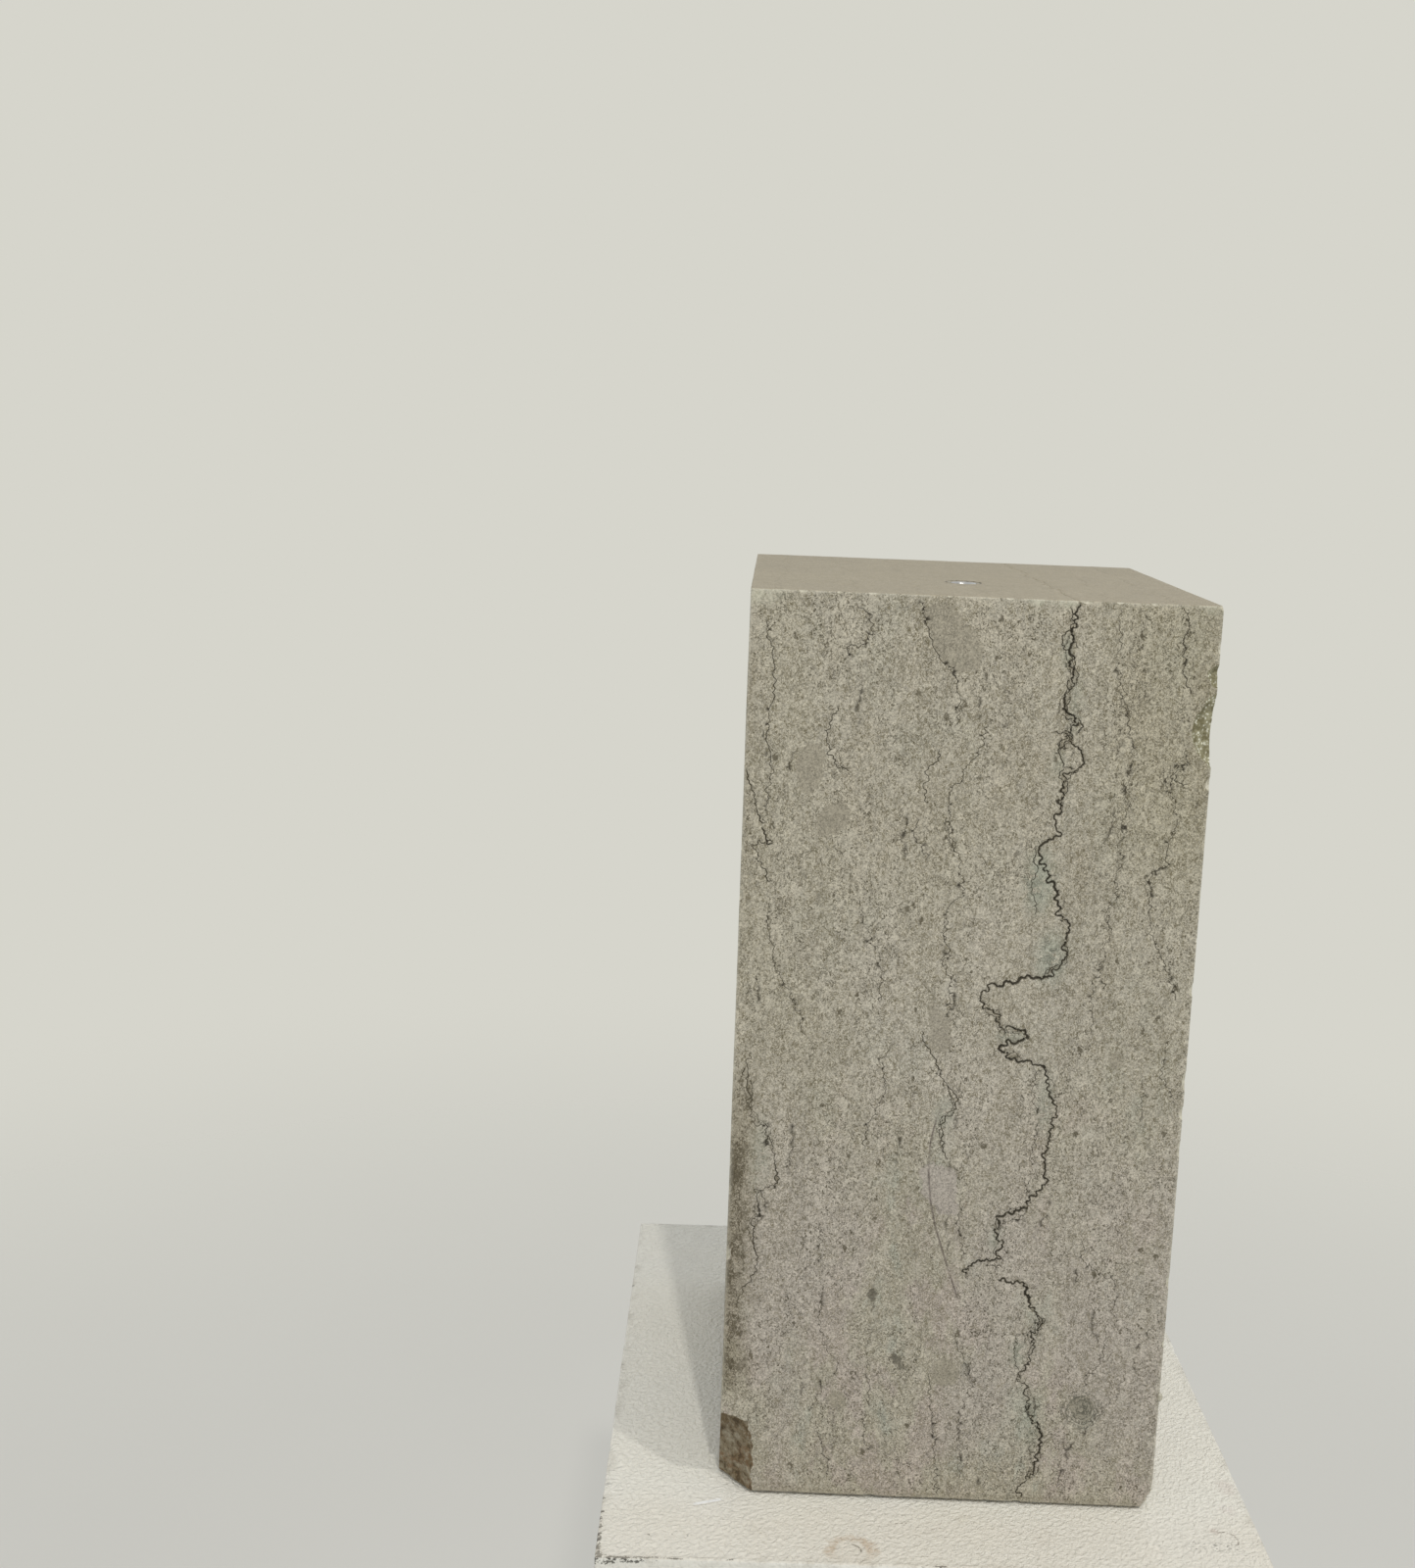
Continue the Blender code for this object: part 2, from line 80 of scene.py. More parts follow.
# ================================================================ noise and small helpers
def lattice(ix, iy, iz, seed):
    h = (ix * 374761393 + iy * 668265263 + iz * 1440662683 + seed * 974634777) & 0xFFFFFFFF
    h = ((h ^ (h >> 13)) * 1274126177) & 0xFFFFFFFF
    return (h ^ (h >> 16)) & 0xFFFFFFFF


def value_noise(p, seed=0):
    """Smooth value noise between -1 and 1 at points p (N, 3)."""
    p = np.asarray(p, float)
    i = np.floor(p).astype(np.int64)
    f = p - i
    u = f * f * f * (f * (f * 6 - 15) + 10)
    out = np.zeros(len(p))
    for dx in (0, 1):
        wx = u[:, 0] if dx else 1 - u[:, 0]
        for dy in (0, 1):
            wy = u[:, 1] if dy else 1 - u[:, 1]
            for dz in (0, 1):
                wz = u[:, 2] if dz else 1 - u[:, 2]
                h = lattice(i[:, 0] + dx, i[:, 1] + dy, i[:, 2] + dz, seed)
                out += wx * wy * wz * (h / 2147483647.5 - 1.0)
    return out


def fbm(p, size, octaves=3, seed=0, gain=0.5):
    """Fractal noise with features of the given size in metres."""
    p = np.asarray(p, float) / size
    total, amp, norm = np.zeros(len(p)), 1.0, 0.0
    for k in range(octaves):
        total += amp * value_noise(p * 2.0**k + 17.3 * k + 3.1, seed * 31 + k)
        norm += amp
        amp *= gain
    return total / norm


def smooth(x, a, b):
    t = np.clip((x - a) / (b - a), 0.0, 1.0)
    return t * t * (3 - 2 * t)


def lin(r, g, b):
    """Linear colour from 0-255 display values."""
    return tuple((c / 255 / 12.92) if c / 255 <= 0.04045 else ((c / 255 + 0.055) / 1.055) ** 2.4 for c in (r, g, b))


def build(name, verts, faces, materials, body, replaces=(), attrs=None, smooth_angle=40.0, at=None, face_material=None):
    """A mesh object from arrays, shaded, given its finish, and riding on its CAD body."""
    mesh = bpy.data.meshes.new(name)
    mesh.from_pydata([tuple(v) for v in np.asarray(verts, float)], [], [tuple(int(i) for i in f) for f in faces])
    for key, values in (attrs or {}).items():
        layer = mesh.attributes.new(key, "FLOAT", "POINT")
        layer.data.foreach_set("value", np.asarray(values, np.float32))
    for m in materials:
        mesh.materials.append(m)
    if face_material is not None:
        mesh.polygons.foreach_set("material_index", np.asarray(face_material, np.int32))
    mesh.validate()
    obj = bpy.data.objects.new(name, mesh)
    bpy.context.scene.collection.objects.link(obj)
    if at is not None:
        obj.matrix_world = at
    shade(obj, smooth_angle)
    settle(obj, body, replaces)
    return obj


def shade(obj, angle=40.0):
    mesh = obj.data
    mesh.shade_smooth()
    mesh.set_sharp_from_angle(angle=math.radians(angle))


def settle(obj, body, replaces=()):
    if body is None:
        return
    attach(obj, body)
    if replaces:
        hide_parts(*replaces)


# ================================================================ node materials
STONE_TONE = 0.85  # overall lightness of the limestone


class Finish:
    """A Principled material built from procedural nodes, in the object's own coordinates."""

    def __init__(self, name):
        self.mat = bpy.data.materials.new(name)
        self.mat.use_nodes = True
        self.tree = self.mat.node_tree
        self.tree.nodes.clear()
        self.out = self.tree.nodes.new("ShaderNodeOutputMaterial")
        self.bsdf = self.tree.nodes.new("ShaderNodeBsdfPrincipled")
        self.tree.links.new(self.bsdf.outputs["BSDF"], self.out.inputs["Surface"])
        coord = self.tree.nodes.new("ShaderNodeTexCoord")
        self.p = coord.outputs["Object"]
        self.normal = coord.outputs["Normal"]
        self.bumps = None

    def put(self, socket, value):
        if isinstance(value, bpy.types.NodeSocket):
            self.tree.links.new(value, socket)
        elif isinstance(value, (tuple, list)) and len(value) == 3 and socket.type == "RGBA":
            socket.default_value = (*value, 1.0)
        else:
            socket.default_value = value

    def node(self, kind, out=0, props=None, **inputs):
        n = self.tree.nodes.new(kind)
        for k, v in (props or {}).items():
            setattr(n, k, v)
        for k, v in inputs.items():
            self.put(n.inputs[int(k[1:])] if k[0] == "i" and k[1:].isdigit() else n.inputs[k], v)
        return n.outputs[out]

    def math(self, op, a, b=0.0, c=0.0, clamp=False):
        return self.node("ShaderNodeMath", props={"operation": op, "use_clamp": clamp}, i0=a, i1=b, i2=c)

    def add(self, a, b):
        return self.math("ADD", a, b)

    def mul(self, a, b):
        return self.math("MULTIPLY", a, b)

    def scaled(self, p, s):
        return self.node("ShaderNodeVectorMath", props={"operation": "MULTIPLY"}, i0=p, i1=s)

    def shift(self, p, q):
        return self.node("ShaderNodeVectorMath", props={"operation": "ADD"}, i0=p, i1=q)

    def noise(self, p, scale, detail=2.0, rough=0.5, distortion=0.0, colour=False):
        return self.node("ShaderNodeTexNoise", out=1 if colour else 0, Vector=p, Scale=scale, Detail=detail, Roughness=rough, Distortion=distortion)

    def cells(self, p, scale, feature="F1", out="Distance", randomness=1.0):
        n = self.tree.nodes.new("ShaderNodeTexVoronoi")
        n.feature = feature
        self.put(n.inputs["Vector"], p)
        n.inputs["Scale"].default_value = scale
        n.inputs["Randomness"].default_value = randomness
        return n.outputs[out]

    def step(self, v, a, b, lo=0.0, hi=1.0):
        """Smoothstep from lo at a to hi at b."""
        n = self.tree.nodes.new("ShaderNodeMapRange")
        n.interpolation_type = "SMOOTHSTEP"
        for k, x in zip(("Value", "From Min", "From Max", "To Min", "To Max"), (v, a, b, lo, hi)):
            self.put(n.inputs[k], x)
        return n.outputs[0]

    def mix(self, f, a, b, blend="MIX"):
        n = self.tree.nodes.new("ShaderNodeMix")
        n.data_type = "RGBA"
        n.blend_type = blend
        self.put(n.inputs[0], f)
        self.put(n.inputs[6], a)
        self.put(n.inputs[7], b)
        return n.outputs[2]

    def gain(self, colour, amount):
        """Multiplies a colour by a grey amount, which may be a socket."""
        grey = self.node("ShaderNodeCombineColor", i0=amount, i1=amount, i2=amount)
        return self.mix(1.0, colour, grey, "MULTIPLY")

    def attr(self, name):
        n = self.tree.nodes.new("ShaderNodeAttribute")
        n.attribute_name = name
        return n.outputs["Fac"]

    def axes(self, p):
        n = self.tree.nodes.new("ShaderNodeSeparateXYZ")
        self.put(n.inputs[0], p)
        return n.outputs[0], n.outputs[1], n.outputs[2]

    def vector(self, x, y, z):
        return self.node("ShaderNodeCombineXYZ", i0=x, i1=y, i2=z)

    def near(self, x, y, at, radius, soft):
        """1 within radius of a point in plan, fading over soft."""
        dx, dy = self.add(x, -at[0]), self.add(y, -at[1])
        r = self.math("SQRT", self.add(self.mul(dx, dx), self.mul(dy, dy)))
        return self.step(r, radius, radius + soft, 1.0, 0.0), r

    def bump(self, height, distance, strength=1.0):
        n = self.tree.nodes.new("ShaderNodeBump")
        self.put(n.inputs["Strength"], strength)
        self.put(n.inputs["Distance"], distance)
        self.put(n.inputs["Height"], height)
        if self.bumps is not None:
            self.put(n.inputs["Normal"], self.bumps)
        self.bumps = n.outputs[0]

    def done(self, colour, roughness, metallic=0.0, specular=0.5, **more):
        self.put(self.bsdf.inputs["Base Color"], colour)
        self.put(self.bsdf.inputs["Roughness"], roughness)
        self.put(self.bsdf.inputs["Metallic"], metallic)
        self.put(self.bsdf.inputs["Specular IOR Level"], specular)
        for k, v in more.items():
            self.put(self.bsdf.inputs[k.replace("_", " ")], v)
        if self.bumps is not None:
            self.put(self.bsdf.inputs["Normal"], self.bumps)
        return self.mat


def sawn_limestone():
    """Grey-beige stylolitic limestone, sawn and lightly honed."""
    f = Finish("sawn_limestone")
    p = f.p
    x, y, z = f.axes(p)
    nx, ny, nz = f.axes(f.normal)
    tall = f.scaled(p, (1.0, 1.0, 0.72))
    top = f.step(nz, 0.6, 0.9)
    # Broad clouds, patches a few millimetres across, then flecks and the speckle of the grains.
    cloud = f.noise(f.scaled(p, (1.0, 1.0, 0.45)), 16.0, 3.0, 0.55)
    hue = f.noise(f.shift(f.scaled(p, (1.0, 1.0, 0.5)), (4.0, 2.0, 1.0)), 46.0, 4.0, 0.62)
    patch = f.noise(tall, 95.0, 4.0, 0.6, 0.4)
    crowd = f.noise(f.scaled(p, (1.0, 1.0, 0.30)), 58.0, 3.0, 0.6)
    fleck = f.noise(tall, 760.0, 4.0, 0.68, 1.7)
    grain = f.noise(p, 1250.0, 3.0, 0.75)
    dust = f.noise(p, 2400.0, 2.0, 0.6)
    high = f.step(z, 0.11, 0.19)
    value = f.add(f.add(f.step(cloud, 0.3, 0.7, -0.030, 0.030), f.step(patch, 0.3, 0.7, -0.060, 0.052)), f.add(STONE_TONE, f.mul(high, 0.014)))
    gate = f.step(crowd, 0.30, 0.70, 0.045, -0.045)
    dark = f.step(f.add(fleck, gate), 0.560, 0.640)
    light = f.step(fleck, 0.455, 0.340)
    value = f.add(value, f.mul(light, 0.14))
    value = f.add(value, f.step(grain, 0.28, 0.72, -0.34, 0.34))
    value = f.add(value, f.step(dust, 0.30, 0.70, -0.18, 0.18))
    low = f.step(z, 0.26, 0.10)
    base = f.mix(f.step(hue, 0.50, 0.62), (0.512, 0.473, 0.378), f.mix(low, (0.516, 0.472, 0.372), (0.528, 0.466, 0.400)))
    base = f.mix(f.mul(f.step(hue, 0.47, 0.36), 0.85), base, f.mix(low, (0.500, 0.468, 0.374), (0.455, 0.456, 0.376)))
    base = f.mix(f.step(cloud, 0.46, 0.62), base, f.mix(low, (0.504, 0.466, 0.366), (0.505, 0.458, 0.392)))
    colour = f.gain(base, value)
    colour = f.mix(f.mul(dark, f.add(0.42, f.mul(high, 0.05))), colour, f.gain((0.232, 0.200, 0.118), f.add(0.55, f.mul(grain, 0.9))))
    # Short dark ticks, curled like scraps of hair, thickest where the flecks crowd, and paler ones.
    curl = f.noise(tall, 300.0, 3.0, 0.6, 0.8)
    wool = f.noise(f.shift(tall, (0.3, 0.7, 0.2)), 560.0, 2.0, 0.55, 1.2)
    fluff = f.noise(f.shift(tall, (0.9, 0.1, 0.6)), 640.0, 2.0, 0.55, 1.2)
    strand = f.step(f.math("ABSOLUTE", f.add(wool, -0.5)), 0.052, 0.012)
    strand = f.mul(strand, f.step(f.add(curl, gate), 0.44, 0.56))
    colour = f.mix(f.mul(strand, f.add(0.62, f.mul(high, 0.18))), colour, (0.150, 0.126, 0.068))
    pale = f.mul(f.step(f.math("ABSOLUTE", f.add(fluff, -0.5)), 0.048, 0.010), f.step(curl, 0.52, 0.42))
    colour = f.mix(f.mul(pale, f.add(0.30, f.mul(high, 0.06))), colour, (0.600, 0.565, 0.465))
    tick = f.mul(f.step(f.math("ABSOLUTE", f.add(curl, -0.5)), 0.046, 0.014), f.mul(f.step(fleck, 0.50, 0.58), f.step(crowd, 0.42, 0.56)))
    colour = f.mix(f.mul(tick, 0.88), colour, (0.085, 0.070, 0.036))
    # A few ragged specks and pits.
    stray = f.shift(f.noise(p, 620.0, 3.0, 0.6, colour=True), (-0.5, -0.5, -0.5))
    loose = f.shift(tall, f.scaled(stray, (0.0046, 0.0046, 0.0046)))
    speck = f.cells(loose, 150.0)
    kx, ky, kz = f.axes(f.cells(loose, 150.0, out="Color"))
    spot = f.mul(f.step(kx, 0.86, 0.88), f.step(f.math("SUBTRACT", speck, f.step(ky, 0.0, 1.0, 0.03, 0.17)), 0.03, -0.03))
    colour = f.mix(f.mul(spot, 0.80), colour, (0.100, 0.084, 0.050))
    blob = f.cells(loose, 62.0)
    bkeep = f.axes(f.cells(loose, 62.0, out="Color"))[1]
    shell = f.mul(f.step(bkeep, 0.78, 0.84), f.step(blob, 0.36, 0.16))
    colour = f.mix(f.mul(shell, 0.30), colour, f.mix(f.step(bkeep, 0.88, 0.92), (0.25, 0.215, 0.155), (0.60, 0.57, 0.48)))
    # Hair stylolites: wavering upright sheets through the block, broken in places.
    sway = f.noise(f.scaled(p, (0.35, 0.35, 1.0)), 26.0, 4.0, 0.62)
    jag = f.noise(p, 260.0, 4.0, 0.75)
    lines = None
    for pitch, offset, width, seed in ((0.0215, 0.004, 0.00060, 0.0), (0.0370, 0.019, 0.00075, 5.0), (0.0300, 0.011, 0.00060, 9.0)):
        u = f.add(f.add(x, f.mul(y, 0.22)), f.add(f.step(sway, 0.2, 0.8, -0.017, 0.017 + seed * 0.001), f.step(jag, 0.2, 0.8, -0.0066, 0.0066)))
        t = f.math("FRACT", f.math("DIVIDE", f.add(u, offset + 1.0), pitch))
        d = f.mul(f.math("ABSOLUTE", f.add(t, -0.5)), pitch)
        line = f.step(d, width, width * 0.3)
        there = f.step(f.noise(f.shift(f.scaled(p, (1.0, 1.0, 0.5)), (seed, seed, seed)), 34.0, 3.0, 0.6), 0.47, 0.56)
        line = f.mul(line, f.mul(there, f.step(f.add(fleck, f.mul(grain, 0.4)), 0.66, 0.76)))
        lines = line if lines is None else f.math("MAXIMUM", lines, line)
    colour = f.mix(f.mul(lines, 0.80), colour, (0.095, 0.080, 0.046))
    # Fossil sections, outlined by a distance in millimetres: smoother stone with few flecks.
    fossil = f.add(f.attr("fossil"), f.add(f.step(patch, 0.3, 0.7, -1.1, 1.1), f.add(f.step(jag, 0.2, 0.8, -1.2, 1.2), f.step(fleck, 0.2, 0.8, -0.7, 0.7))))
    inside = f.step(fossil, 0.55, -0.45)
    tone = f.attr("tone")
    lens = f.mix(f.step(tone, -0.95, -0.05), (0.170, 0.151, 0.112), (0.406, 0.369, 0.284))
    lens = f.mix(f.step(tone, 0.3, 0.8), lens, (0.520, 0.468, 0.408))
    ringed = f.mul(f.step(tone, -0.5, -0.85), f.step(f.math("ABSOLUTE", f.math("SINE", f.mul(f.add(fossil, f.mul(jag, 1.6)), 2.1))), 0.55, 0.15))
    lens = f.mix(f.mul(ringed, 0.55), lens, (0.105, 0.105, 0.080))
    lens = f.gain(lens, f.add(f.step(grain, 0.3, 0.7, -0.24, 0.24), f.add(f.mul(dark, -0.14), STONE_TONE)))
    colour = f.mix(f.mul(inside, 0.84), colour, lens)
    rim = f.mul(f.step(f.math("ABSOLUTE", f.add(fossil, 0.2)), 0.50, 0.05), f.step(patch, 0.48, 0.62))
    colour = f.mix(f.mul(rim, 0.34), colour, (0.15, 0.13, 0.09))
    # Clay tint that follows the large seams, greenish grey.
    halo = f.attr("tint")
    tint = f.mul(halo, f.step(jag, 0.32, 0.52))
    colour = f.mix(f.mul(tint, 0.68), colour, f.gain((0.368, 0.392, 0.312), f.add(0.55, f.mul(grain, 0.9))))
    vein = f.mul(f.mul(halo, f.step(f.math("ABSOLUTE", f.add(jag, -0.5)), 0.042, 0.012)), f.step(patch, 0.45, 0.58))
    colour = f.mix(f.mul(vein, 0.75), colour, (0.085, 0.088, 0.066))
    clay = f.mul(f.attr("clay"), f.step(grain, 0.30, 0.62))
    colour = f.mix(f.mul(clay, 0.66), colour, (0.150, 0.128, 0.082))
    # The seams themselves: near-black clay in the groove.
    seam = f.attr("seam")
    ragged = f.step(f.add(seam, f.step(grain, 0.2, 0.8, -0.22, 0.22)), 0.20, 0.78)
    colour = f.mix(f.mul(ragged, 0.96), colour, f.mix(f.step(patch, 0.4, 0.6), (0.024, 0.019, 0.010), (0.046, 0.038, 0.022)))
    violet = f.mul(f.step(f.attr("shell"), 0.10, 0.75), f.mul(f.step(grain, 0.32, 0.50), f.step(patch, 0.36, 0.56, 0.35, 1.0)))
    colour = f.mix(f.mul(violet, 0.78), colour, (0.118, 0.092, 0.082))
    # One coral in cross-section, low on the front: dark rings round a grey core.
    face = f.step(ny, -0.4, -0.8)
    _, r = f.near(x, z, (0.0652, 0.0478), 0.01, 0.001)
    r = f.add(r, f.add(f.step(jag, 0.2, 0.8, -0.0016, 0.0016), f.step(fleck, 0.2, 0.8, -0.0005, 0.0005)))
    core = f.mul(face, f.step(r, 0.0072, 0.0040))
    colour = f.mix(f.mul(core, 0.12), colour, f.gain((0.262, 0.268, 0.226), f.add(0.5, f.mul(grain, 1.0))))
    for reach, half, amount in ((0.0088, 0.00075, 0.62), (0.0066, 0.00085, 0.80), (0.0045, 0.00080, 0.80), (0.0024, 0.00085, 0.84)):
        band = f.mul(f.mul(face, f.step(f.math("ABSOLUTE", f.add(r, -reach)), half, half * 0.25)), f.step(f.add(wool, f.mul(grain, 0.25)), 0.50, 0.64))
        colour = f.mix(f.mul(band, amount), colour, (0.098, 0.096, 0.072))
    # Handling grime and iron staining.
    rust = f.attr("grime")
    grime = f.mul(rust, f.step(f.add(f.mul(patch, 0.7), f.add(f.mul(fleck, 0.7), f.mul(rust, 0.08))), 0.70, 0.84))
    colour = f.mix(f.mul(rust, 0.50), colour, f.gain((0.268, 0.232, 0.150), f.add(0.6, f.mul(grain, 0.8))))
    colour = f.mix(f.mul(grime, 0.85), colour, f.gain((0.090, 0.072, 0.040), f.add(0.55, f.mul(grain, 0.9))))
    # The bed is a little darker and more olive at the upper right, lighter in the middle.
    right = f.mul(f.step(x, 0.040, 0.075), f.step(z, 0.27, 0.34))
    colour = f.mix(f.mul(right, f.mul(face, 0.85)), colour, f.mix(1.0, colour, (0.920, 0.915, 0.860), "MULTIPLY"))
    middle, _ = f.near(x, z, (0.002, 0.235), 0.030, 0.045)
    colour = f.mix(f.mul(middle, face), colour, f.mix(1.0, colour, (1.045, 1.045, 1.075), "MULTIPLY"))
    # Rubbed corners and a bruised stretch of the top arris.
    for at, size, soft in (((-W / 2 + 0.004, H), 0.0025, 0.0070), ((0.034, H), 0.0012, 0.0040), ((0.022, H), 0.0010, 0.0032), ((W / 2, H), 0.0015, 0.0050)):
        rub, _ = f.near(f.mul(f.add(x, -at[0]), 0.55), z, (0.0, at[1]), size, soft)
        colour = f.mix(f.mul(f.mul(rub, face), f.step(f.add(fleck, f.mul(patch, 0.5)), 0.66, 0.82, 0.10, 0.72)), colour, (0.610, 0.600, 0.470))
    # Bruised, paler stone along the arrises.
    arris = f.mul(f.attr("arris"), f.step(f.add(fleck, f.mul(patch, 0.6)), 0.66, 0.92))
    colour = f.mix(f.mul(arris, 0.62), colour, (0.62, 0.59, 0.49))
    # The top is honed a little finer, so its speckle is closer in tone.
    honed = f.gain((0.520, 0.484, 0.392), f.add(f.add(STONE_TONE - 0.10, f.mul(cloud, 0.10)), f.mul(grain, 0.14)))
    colour = f.mix(f.mul(top, 0.60), colour, honed)
    colour = f.mix(top, colour, f.mix(1.0, colour, (0.840, 0.797, 0.722), "MULTIPLY"))
    rough = f.add(f.step(fleck, 0.3, 0.7, 0.76, 0.62), f.mul(top, -0.12))
    pit = f.math("SUBTRACT", f.add(f.mul(grain, 0.45), f.mul(dark, -0.45)), f.add(f.mul(f.add(spot, tick), 0.6), f.mul(lines, 0.5)))
    f.bump(pit, 0.00022, f.add(0.85, f.mul(top, -0.55)))
    f.bump(f.noise(tall, 240.0, 4.0, 0.65), 0.00024, 0.5)
    return f.done(colour, rough, specular=0.3)


def broken_limestone():
    """Old fracture, brown with iron and dirt."""
    f = Finish("weathered_fracture")
    p = f.p
    big = f.noise(p, 85.0, 4.0, 0.6)
    mid = f.noise(p, 300.0, 4.0, 0.65)
    fine = f.noise(p, 1100.0, 3.0, 0.65)
    rusty = f.noise(f.shift(p, (1.0, 2.0, 3.0)), 150.0, 3.0, 0.6)
    colour = f.mix(f.step(big, 0.40, 0.60), (0.185, 0.138, 0.080), (0.235, 0.196, 0.132))
    colour = f.mix(f.mul(f.step(rusty, 0.50, 0.64), 0.60), colour, (0.200, 0.118, 0.062))
    colour = f.mix(f.mul(f.step(mid, 0.50, 0.64), 0.62), colour, (0.360, 0.328, 0.252))
    colour = f.mix(f.mul(f.step(mid, 0.47, 0.38), 0.80), colour, (0.085, 0.062, 0.036))
    colour = f.gain(colour, f.add(0.40, f.mul(fine, 1.20)))
    f.bump(f.add(f.mul(mid, 0.8), f.mul(fine, 0.35)), 0.0010, 0.9)
    return f.done(colour, 0.92, specular=0.15)


def spalled_limestone():
    """Shallow shell-shaped break with pale greenish crystals."""
    f = Finish("crystalline_spall")
    p = f.p
    mid = f.noise(p, 260.0, 4.0, 0.65)
    fine = f.noise(p, 1000.0, 3.0, 0.6)
    crystal = f.cells(p, 700.0)
    colour = f.mix(f.step(mid, 0.38, 0.62), (0.160, 0.142, 0.072), (0.335, 0.315, 0.205))
    white = f.mul(f.step(crystal, 0.46, 0.22), f.step(mid, 0.42, 0.56))
    colour = f.mix(f.mul(white, 0.85), colour, (0.80, 0.79, 0.66))
    colour = f.gain(colour, f.add(0.74, f.mul(fine, 0.52)))
    f.bump(f.add(f.mul(mid, 0.8), f.mul(crystal, 0.4)), 0.0007, 0.8)
    return f.done(colour, f.step(crystal, 0.1, 0.5, 0.38, 0.85), specular=0.4)


def fresh_limestone():
    """Small bruises and nicks, where the pale stone shows."""
    f = Finish("fresh_nick")
    p = f.p
    mid = f.noise(p, 500.0, 3.0, 0.6)
    fine = f.noise(p, 1700.0, 2.0, 0.6)
    colour = f.mix(f.step(mid, 0.35, 0.62), (0.450, 0.420, 0.330), (0.600, 0.572, 0.470))
    colour = f.gain(colour, f.add(0.82, f.mul(fine, 0.36)))
    f.bump(f.add(mid, f.mul(fine, 0.5)), 0.0004, 0.7)
    return f.done(colour, 0.88, specular=0.2)


def pedestal_paint(name, top=False):
    """Roller-applied warm white emulsion, matt, with gallery wear. The sides' copy is made darker than the top's as
    painted shade.
    """
    f = Finish(name)
    p = f.p
    x, y, z = f.axes(p)
    # The stipple is drawn out along the roller's path, which crosses the top on a slant.
    turned = f.node("ShaderNodeVectorRotate", props={"rotation_type": "Z_AXIS"}, Vector=p, Angle=math.radians(-38.0 if top else 0.0))
    drawn = f.scaled(turned, (0.75, 1.0, 1.0) if top else (1.0, 1.0, 0.7))
    peel = f.noise(drawn, 520.0, 3.0, 0.60, 0.4)
    fine = f.noise(p, 900.0, 3.0, 0.6)
    soft = f.noise(p, 9.0, 3.0, 0.5)
    mid = f.noise(p, 60.0, 3.0, 0.6)
    base = f.mix(f.step(soft, 0.35, 0.65), (0.872, 0.848, 0.764), (0.864, 0.846, 0.774))
    # Painted shade: the side panels get 0.93 of the base colour against the top's 1.025, darker for the lower light on
    # upright faces.
    colour = f.gain(base, f.add(f.add(1.025 if top else 0.93, f.step(peel, 0.30, 0.70, -0.030, 0.030)), f.mul(mid, 0.045)))
    # Dust specks caught in the paint.
    dot = f.cells(p, 85.0)
    pick = f.axes(f.cells(p, 85.0, out="Color"))
    speck = f.mul(f.step(pick[0], 0.93, 0.95), f.step(dot, f.step(pick[1], 0.0, 1.0, 0.03, 0.075), 0.02))
    colour = f.mix(f.mul(speck, 0.55), colour, (0.30, 0.27, 0.21))
    # Grime in the low spots beside the arrises, and chipped paint with dirt in it.
    edge = f.attr("edge")
    dirt = f.mul(edge, f.step(f.add(mid, f.mul(fine, 0.35)), 0.62, 0.86))
    colour = f.mix(f.mul(dirt, 0.45), colour, (0.44, 0.41, 0.34))
    bare = f.attr("chip")
    chip = f.mul(f.step(bare, 0.05, 0.25), f.step(f.add(f.noise(f.scaled(p, (0.38, 0.9, 0.9)), 460.0, 4.0, 0.68), f.mul(bare, 0.19)), 0.615, 0.67))
    colour = f.mix(f.mul(bare, 0.20), colour, (0.52, 0.50, 0.42))
    colour = f.mix(f.mul(chip, 0.94), colour, (0.055, 0.052, 0.040))
    if top:
        # A cup ring near the front arris, open on one side, with a hairline beside it.
        _, r = f.near(x, y, (-0.0372, -0.1412), 0.01, 0.001)
        wob = f.step(f.noise(p, 150.0, 3.0, 0.6), 0.2, 0.8, -0.0022, 0.0022)
        band = f.step(f.math("ABSOLUTE", f.add(f.add(r, -0.0092), wob)), 0.0038, 0.0004)
        band = f.mul(band, f.mul(f.step(y, -0.1475, -0.1400, 0.15, 1.0), f.step(mid, 0.34, 0.60, 0.45, 1.0)))
        colour = f.mix(f.mul(band, f.step(peel, 0.36, 0.62, 0.30, 0.95)), colour, (0.570, 0.425, 0.285))
        stain = f.mul(f.step(f.add(r, wob), 0.0105, 0.0060), 0.14)
        colour = f.mix(stain, colour, (0.600, 0.500, 0.380))
        quarter = f.mul(f.step(f.math("ABSOLUTE", f.add(r, -0.0044)), 0.00062, 0.00018), f.mul(f.step(x, -0.0378, -0.0366), f.step(y, -0.1422, -0.1410)))
        colour = f.mix(f.mul(f.mul(quarter, f.step(fine, 0.40, 0.50)), 0.95), colour, (0.085, 0.070, 0.050))
        for ax, ay, ux, uy, long in ((-0.0366, -0.1481, 0.940, 0.341, 0.0074), (-0.0012, -0.1250, 0.984, 0.178, 0.0070), (-0.0176, -0.1213, 0.999, -0.020, 0.0080)):
            along = f.add(f.mul(f.add(x, -ax), ux), f.mul(f.add(y, -ay), uy))
            across = f.add(f.add(f.mul(f.add(x, -ax), -uy), f.mul(f.add(y, -ay), ux)), f.step(mid, 0.2, 0.8, -0.0009, 0.0009))
            line = f.mul(f.step(f.math("ABSOLUTE", across), 0.00050, 0.00014), f.mul(f.step(along, 0.0, 0.002), f.step(along, long, long - 0.002)))
            colour = f.mix(f.mul(f.mul(line, f.step(fine, 0.42, 0.56)), 0.80), colour, (0.20, 0.165, 0.115))
